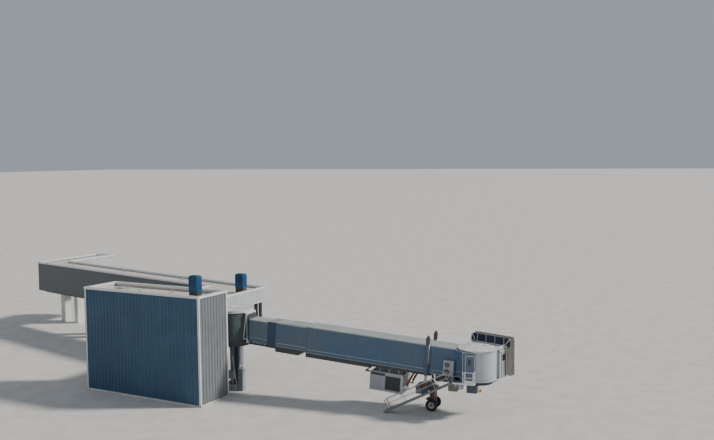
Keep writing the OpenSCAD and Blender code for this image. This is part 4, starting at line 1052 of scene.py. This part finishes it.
def dressLanding():
    x0, x1, y0, wall, z = (landing[k] for k in ("x0", "x1", "y0", "wall", "z"))
    top = z + landing["rail"]
    boxes = [(x0, x1, y0, wall, z - 14, z), (x0, x1, y0, y0 + 50, z - 80, z),
             (x0, x1, wall - 50, wall, z - 80, z),
             (x0, x0 + 50, y0, wall, z - 80, z), (x1 - 50, x1, y0, wall, z - 80, z)]
    for x in (-1500, -1000):
        boxes += [(x, x + 100, y0 + 60, -1100.6, -560, -400), (x, x + 100, y0 + 60, y0 + 160, -401, z - 13),
                  (x, x + 100, -2010, -1910, -401, z - 13)]
    boxes += [(-690, 90, -2180, -1890, z + 80, z + 130), (-690, -640, -2180, -1890, z - 1, z + 81),
              (40, 90, -2180, -1890, z - 1, z + 81)]
    for y in (-2640, -2250):
        boxes += [(-1860, x0 + 100, y - 25, y + 25, -320, z - 79),
                  (-1860, x0 + 20, y - 25, y + 25, -320, -200)]
    boxPiece("landing_frame", boxes, "level", "section_c", surfaces["galvanised"], 4,
             rods=[((-1800, -2745, -260), (-1800, -2085, -260), 25, 20)], hides=("landing",))
    bm = bmesh.new()
    for i in range(landing["bars"] + 1):
        x = x0 + 20 + (x1 - x0 - 40) * i / landing["bars"]
        addBox(bm, x - 4, x + 4, y0 + 55, -1915, z, z + 8)
    finishPiece("landing_grating", bm, "level", "section_c", surfaces["galvanised"], 0)
    gateLow, gateHigh = landing["gate"]
    stairBars = [(x0, x0 + 50, y0, y0 + 50, z - 1, top)]
    stairBars += [(x0, -735, y0 + 10, y0 + 40, h, h + 34) for h in (top - 500, top - 50)]
    boxPiece("landing_stair_rails", stairBars, "level", "section_c", stairSteel, 4)
    bars = ([(x, x + 50, y0, y0 + 50, z - 1, top) for x in (-760, x1 - 50)]
            + [(x1 - 50, x1, -2300, -2250, z - 1, top)])
    bars += [(x1 - 45, x1 - 5, y0, -2250, h, h + 45) for h in (top - 500, top - 50)]
    bars += [(x, x + 60, y0 + 6, y0 + 44, z + 60, top - 5) for x in (gateLow, gateHigh - 60)]
    for h, high in ((top - 70, 62), (z + 560, 55), (z + 70, 250)):
        bars.append((gateLow, gateHigh, y0 + 10, y0 + 40, h, h + high))
    bars += [(-712, gateLow + 10, y0 + 16, y0 + 34, h, h + 60) for h in (z + 200, z + 900)]
    bars += [(x0 + 4, x1 - 4, y0 - 7, y0 + 1, z - 70, z + 60), (x1 - 2, x1 + 6, y0 + 4, -2260, z - 70, z + 60)]
    boxPiece("landing_rails", bars, "level", "section_c", surfaces["flashing"], 4)
    bm = bmesh.new()
    for x in (x0 + 25, -735, x1 - 25):
        bmesh.ops.create_uvsphere(bm, u_segments=16, v_segments=8, radius=38,
                                  matrix=Matrix.Translation((x, y0 + 25, top + 20)))
    finishPiece("landing_post_caps", bm, "level", "section_c", surfaces["frame_white"], 0, True)


dressLanding()


def dressStair():
    long, wide, n = stair["length"], stair["width"], stair["treads"]
    bm = bmesh.new()
    for y, side in ((0, 1), (wide, -1)):  # channel stringers
        addBox(bm, -long - 50, 62, *span(y, side * 14), -88, 88)
        for z in (-88, 74):
            addBox(bm, -long - 50, 62, *span(y, side * 50), z, z + 14)
    level = Matrix.Rotation(math.radians(stair["slope"]), 4, "Y")
    for i in range(1, n):
        made = addBox(bm, -125, 125, 15, wide - 15, -16, 4)
        made += addBox(bm, -125, -112, 15, wide - 15, -46, -14)
        for v in made:
            v.co = Matrix.Translation((-i * long / n, 0, 20)) @ level @ v.co
    for y in (-30, wide + 30):
        addRod(bm, (-long, y - 31, 0), (-long, y + 31, 0), 107, 28)
        addRod(bm, (-long, wide / 2, 0), (-long, y, 0), 26, 12)
    addTurned(bm, [(25.4, -20), (60, -20), (60, 20), (25.4, 20)], Matrix.Translation((0, 20, 0)) @ quarterX,
              24)
    finishPiece("stair_flight", bm, "stair", "service_stair", stairSteel, 0, True,
                ("service_stair",))
    bm = bmesh.new()
    rail, foot = stair["rail"], stair["posts"][0] - 60
    for y in (20, wide - 20):
        for x in stair["posts"]:
            addRod(bm, (x, y, 60), (x, y, rail), 27, 10)
        addTube(bm, [Vector((foot, y, 560)), Vector((foot, y, rail + 20)), Vector((-150, y, rail + 20))], 29,
                10)
        addRod(bm, (foot, y, 560), (-170, y, 560), 19, 8)
    finishPiece("stair_handrails", bm, "stair", "service_stair", surfaces["galvanised"], 0, True)


dressStair()

# Vestibule, door and the boxes hung under the cab
vestibule = dict(near=-1885, doorLow=80, doorHigh=2050, doorX0=-680, doorX1=100, top=2510)


def dressVestibule():
    y, x0, x1, top = (vestibule[k] for k in ("near", "doorX0", "doorX1", "top"))
    head = vestibule["doorLow"] + vestibule["doorHigh"]
    boxPiece("service_door_frame",
             [(x0 - 70, x0 - 2, y - 16, y + 1, 60, head + 80), (x1 + 2, x1 + 70, y - 16, y + 1, 60, head + 80),
              (x0 - 70, x1 + 70, y - 16, y + 1, head + 4, head + 80),
              (x0 - 110, x1 + 90, y - 130, y + 1, head + 170, head + 200)], "level", "section_c",
             surfaces["cab_skin"], 4)
    boxPiece("vestibule_trims", [(-1000, 190, y - 10, y + 1, 22, 70),
                                 (-1000, 190, y - 10, y + 1, top - 70, top - 2),
                                 (-996, -950, y - 9, y + 1, 70, top - 70),
                                 (150, 196, y - 9, y + 1, 70, top - 70)],
             "level", "section_c", surfaces["galvanised"], 3)
    leaf = y + 5
    bead = (leaf - 8, leaf - 4)  # glazing beads round the pane
    boxPiece("service_door_window", [(-500, -180, leaf - 5, leaf + 2, 1350, 1850),
                                     (-500, -482, *bead, 1350, 1850),
                                     (-198, -180, *bead, 1350, 1850), (-482, -198, *bead, 1350, 1368),
                                     (-482, -198, *bead, 1832, 1850)], "level", "cab_door",
             glass, 1)
    rim = (leaf - 9, leaf - 1)  # frame round the window
    boxPiece("service_door_panel", [(-600, -60, leaf - 4, leaf + 1, 250, 1150), (-540, -140, *rim, 1305, 1350),
                                    (-540, -140, *rim, 1850, 1895), (-540, -500, *rim, 1305, 1895),
                                    (-180, -140, *rim, 1305, 1895)],
             "level", "cab_door", surfaces["door_paint"], 3,
             rods=[((-610, leaf - 22, 1050), (-610, leaf - 22, 1230), 12, 8),
                   ((-610, leaf - 22, 1060), (-610, leaf, 1060), 9, 8),
                   ((-610, leaf - 22, 1220), (-610, leaf, 1220), 9, 8)])
    boxPiece("under_box_olive", [(-2500, -1650, -1300, -500, -1400, -640),
                                 (-2510, -1640, -1312, -1298, -1330, -720),
                                 (-2460, -1690, -1240, -560, -642, -622)],
             "level", "section_c", oliveBox, 10)
    boxPiece("under_box_white", [(-1500, -1120, -1280, -900, -1150, -700),
                                 (-1480, -1140, -1240, -940, -702, -622),
                                 (-1490, -1130, -1290, -1278, -1120, -740)], "level", "section_c",
             surfaces["cab_skin"], 10)
    louvres = [(-700, 100, -1270, -1260, -1330 + 70 * i, -1300 + 70 * i) for i in range(7)]
    boxPiece("under_box_dark", [(-780, 180, -1250, -560, -1420, -700), (-720, 120, -1200, -620, -702, -622),
                                (-760, 160, -1262, -1248, -1380, -760)] + louvres, "level", "section_c",
             surfaces["lift_paint"], 10)
    bm = bmesh.new()
    turn = Matrix.Translation((420, -1250, -1080)) @ Matrix.Rotation(math.radians(115), 4, "Y")
    addTurned(bm, [(2, 0), (150, 0), (185, 190), (165, 190), (130, 30), (2, 30)], turn, 32)
    addBox(bm, 170, 330, -1290, -1210, -1120, -1060)
    finishPiece("flood_lamp", bm, "level", "section_c", amber, 0, True)


dressVestibule()

# Cab: x points out of the nose, z up from the cab floor
cab = dict(radius=1750, high=2560, roof=1860, nose=2000, half=1750)


def dressCab():
    r, tall, roof, half, nose = (cab[k] for k in ("radius", "high", "roof", "half", "nose"))
    flat = Matrix.Identity(4)
    bm = bmesh.new()
    # inner and outer radius, foot, top, first angle and sweep; the far bands stay thin, clear of tunnel C
    for inner, outer, z0, z1, start, sweep in ((r + 2, r + 18, tall - 60, tall - 4, 236, 60),
                                               (r + 2, r + 16, 4, 90, 236, 60),
                                               (r + 1, r + 7, tall - 60, tall - 4, 53, 45),
                                               (r + 1, r + 8, 4, 90, 53, 45)):
        addTurned(bm, [(inner, z0), (outer, z0), (outer, z1), (inner, z1)], flat, 60, start, sweep)
    addTurned(bm, [(r + 1, -270), (r + 7, -270), (r + 7, 2), (r + 1, 2)], flat, 96)
    finishPiece("cab_wall_bands", bm, "cab", "cab", surfaces["cab_skin"], 0, True)
    bm = bmesh.new()
    eaves = [(roof + 2, tall + 10), (roof + 18, tall + 10), (roof + 18, tall + 100), (roof + 2, tall + 100)]
    addTurned(bm, eaves, flat, 80)
    for i in range(16):
        addRod(bm, onCircle(roof - 70, 11 + 22.5 * i, tall + 98), onCircle(720, 11 + 22.5 * i, tall + 262), 13,
               6)
    addRod(bm, (0, 0, tall + 255), (0, 0, tall + 290), 300, 32, 220)
    addBox(bm, 300, 560, -700, -440, tall + 230, tall + 330)
    finishPiece("cab_roof_ribs", bm, "cab", "cab", surfaces["cab_roofing"], 0, True)
    gaskets, panels, windows = bmesh.new(), bmesh.new(), bmesh.new()  # down both sides of the nose
    for side, rear, sill in ((-1, 790, 1380), (1, 1130, 1700)):
        for x0, x1 in ((rear, rear + 130), (rear + 420, rear + 520), (nose - 130, nose)):
            addBox(gaskets, x0, x1, *span(side * half, side * 12), -190, tall - 20)
        y0, y1 = span(side * half, side * 9)
        addBox(panels, rear + 560, nose - 140, y0, y1, -160, 1350)
        addBox(panels, rear + 560, nose - 140, y0, y1, 2000, 2270)
        addBox(panels, rear + 150, rear + 400, y0, y1, -160, 2270)
        addBox(windows, sill, nose - 170, *span(side * (half - 3), side * 10), 1385, 1965)
    finishPiece("nose_gaskets", gaskets, "cab", "cab", rubber, 3)
    finishPiece("nose_panels", panels, "cab", "cab", surfaces["cab_skin"], 4)
    finishPiece("nose_windows", windows, "cab", "cab", glass, 4)
    bm = bmesh.new()  # floor sill and bumper pads
    addBox(bm, nose, nose + 150, -half + 90, half - 90, -170, -6)
    for y in (-1400, -700, 0, 700, 1400):
        addBox(bm, nose + 148, nose + 230, y - 160, y + 160, -150, -20)
    finishPiece("nose_bumper", bm, "cab", "cab", rubber, 16)
    bm = bmesh.new()  # desk with its lever and screen panel
    addBox(bm, 900, 1500, -1560, -1180, 2, 950)
    addPlate(bm, [(880, -1600), (1540, -1600), (1540, -1120), (880, -1120)], 950, 1010)
    addRod(bm, (1350, -1350, 1010), (1350, -1350, 1130), 22, 12)
    addBox(bm, 930, 1250, -1580, -1540, 1010, 1400)
    finishPiece("control_desk", bm, "cab", "cab", surfaces["equipment"], 8)
    ribs = [(-860 + 110 * i, -810 + 110 * i, -1110, 1110, 5, 9) for i in range(25)]
    boxPiece("cab_floor_mat", [(-900, 1950, -1150, 1150, 1, 6)] + ribs, "cab", "cab", rubber, 2)
    bm = bmesh.new()  # floor sill plates seen under the nose
    addBox(bm, 850, nose - 5, -half + 84, half - 84, -230, -201)
    for y in (-1300, -650, 0, 650, 1300):
        addBox(bm, 900, nose - 20, y - 30, y + 30, -290, -229)
    finishPiece("nose_floor_beams", bm, "cab", "cab", surfaces["dark_steel"], 4)


dressCab()


# Folding canopy: cloth sagging between its bows, from the nose to the front hoop
canopy = dict(front=2650, half=2250, top=3480, folds=5, stepsPerFold=10, deep=70, sag=14, backFrom=24)


def hangCanopy():
    back, front, half, top = cab["nose"] + 2, canopy["front"], canopy["half"], canopy["top"]
    steps = canopy["folds"] * canopy["stepsPerFold"]
    shape = bowLine(half - 6, top - 6, 420, -90)
    rings = []
    for k in range(steps + 1):
        t = k / steps
        wave = abs(math.sin(math.pi * canopy["folds"] * t)) ** 0.8
        deep = canopy["deep"] * wave
        ring = []
        for i, (y, z) in enumerate(shape):
            oy, oz = outward(shape, i)
            hang = canopy["sag"] * wave * math.cos(3.1 * y / half) if oz > 0.9 else 8 * wave * math.sin(z / 260)
            ring.append(Vector((back + (front - 15 - back) * t, y - oy * deep, z - oz * deep - hang)))
        rings.append(ring)
    cloth = clothPiece("canopy_cloth", rings, "cab", None, sunCloth, 8)
    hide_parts("canopy")
    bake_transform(cloth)


# Rear closing cloth, from the outline of the nose out to the first bow; pale below the cab's roof, navy above
closing = dict(noseHalf=1762, noseTop=2694, inset=44, foot=-80, thick=6, parts=8)


def closeCanopy():
    half, top, foot = canopy["half"] - closing["inset"], canopy["top"] - closing["inset"], closing["foot"]
    x = cab["nose"] + 2 + canopy["backFrom"]
    rings = []
    for i, (a, b) in enumerate(zip(bowLine(closing["noseHalf"], closing["noseTop"], 60, foot),
                                   bowLine(half, top, 400, foot))):
        ring = []
        for k in range(closing["parts"] + 1):
            t = k / closing["parts"]
            pull = math.sin(math.pi * t) * (9 * math.sin(1.9 * i) + 6 * math.sin(0.7 * i + 2))
            ring.append(Vector((x + pull, a[0] + (b[0] - a[0]) * t, a[1] + (b[1] - a[1]) * t)))
        rings.append(ring)
    bm = bmesh.new()
    addGrid(bm, rings)
    bmesh.ops.solidify(bm, geom=bm.faces[:], thickness=closing["thick"])
    cloth = finishPiece("canopy_back", bm, "cab", "cab", surfaces["canopy_fabric"], 0, True)
    cloth.data.materials.append(sunCloth)
    roofLine = (places["cab"] @ Vector((0, 0, cab["high"] * mm))).z
    for f in cloth.data.polygons:
        if f.center.z < roofLine:
            f.material_index = 1


def stayCanopy():
    back, top = cab["nose"] + 2, canopy["top"]
    bm = bmesh.new()
    for y in (-1500, -500, 500, 1500):
        stay = ((back - 120, y, 2692), (back + 4, y, 3000), (back + 4, y, top - 60))
        addTube(bm, [Vector(p) for p in stay], 26, 8)
    for side in (-1, 1):
        stay = ((1100, 1620, 2692), (1500, 1700, 2770), (back - 30, 1800, 2900), (back, 2150, top - 120))
        addTube(bm, [Vector((x, side * y, z)) for x, y, z in stay], 38, 10)
    finishPiece("canopy_bow_stays", bm, "cab", "cab", surfaces["frame_white"], 0, True)


# The padded bumper round the hoop, crowned between its sewn joints
bumper = dict(inset=30, corner=200, seamPitch=430, seamWide=26, seamDeep=0.16, halfWide=52, halfThick=40,
              rings=300,
              sides=20)


def padHoop():
    path = [Vector(p) for p in bowLine(canopy["half"] - bumper["inset"], canopy["top"] - bumper["inset"],
                                       bumper["corner"], -80)]
    run = [0.0]
    for a, b in zip(path, path[1:]):
        run.append(run[-1] + (b - a).length)
    count, sides, pitch = bumper["rings"], bumper["sides"], bumper["seamPitch"]
    rings = []
    bm = bmesh.new()
    for k in range(count + 1):
        d = run[-1] * k / count
        i = min(max(j for j in range(len(run)) if run[j] <= d + 0.001), len(run) - 2)
        t = (d - run[i]) / (run[i + 1] - run[i])
        p = path[i].lerp(path[i + 1], t)
        along = (path[min(i + 2, len(path) - 1)] - path[max(i - 1, 0)]).normalized()
        seam = abs(d / pitch - round(d / pitch)) * pitch
        full = 1 - bumper["seamDeep"] * math.exp(-(seam / bumper["seamWide"]) ** 2)
        if d < 60 or run[-1] - d < 60:  # the ends round off
            full *= 0.55 + 0.45 * math.sin(math.pi / 2 * max(min(d, run[-1] - d), 1) / 60)
        ring = []
        for m in range(sides):
            a = 2 * math.pi * m / sides
            cx = math.copysign(abs(math.cos(a)) ** 0.6, math.cos(a)) * bumper["halfWide"] * full
            cn = math.copysign(abs(math.sin(a)) ** 0.6, math.sin(a)) * bumper["halfThick"] * full
            ring.append(bm.verts.new((canopy["front"] + 50 + cx, p.x - along.y * cn, p.y + along.x * cn)))
        rings.append(ring)
    for p, q in zip(rings, rings[1:]):
        for m in range(sides):
            bm.faces.new((p[m], q[m], q[(m + 1) % sides], p[(m + 1) % sides]))
    bm.faces.new(rings[0])
    bm.faces.new(rings[-1][::-1])
    cushion = finishPiece("hoop_cushion", bm, "cab", "canopy_hoop", paleCloth, 0, True)
    bm = bmesh.new()  # dark rubber buffers at the feet of the hoop
    for side in (-1, 1):
        for z in (-60, 150):
            addBox(bm, canopy["front"] + 20, canopy["front"] + 112, side * 2215 - 34, side * 2215 + 34, z,
                   z + 190)
    finishPiece("hoop_buffers", bm, "cab", "canopy_hoop", rubber, 14)


hangCanopy()
closeCanopy()
stayCanopy()
padHoop()
print("stage: cab and canopy dressed")
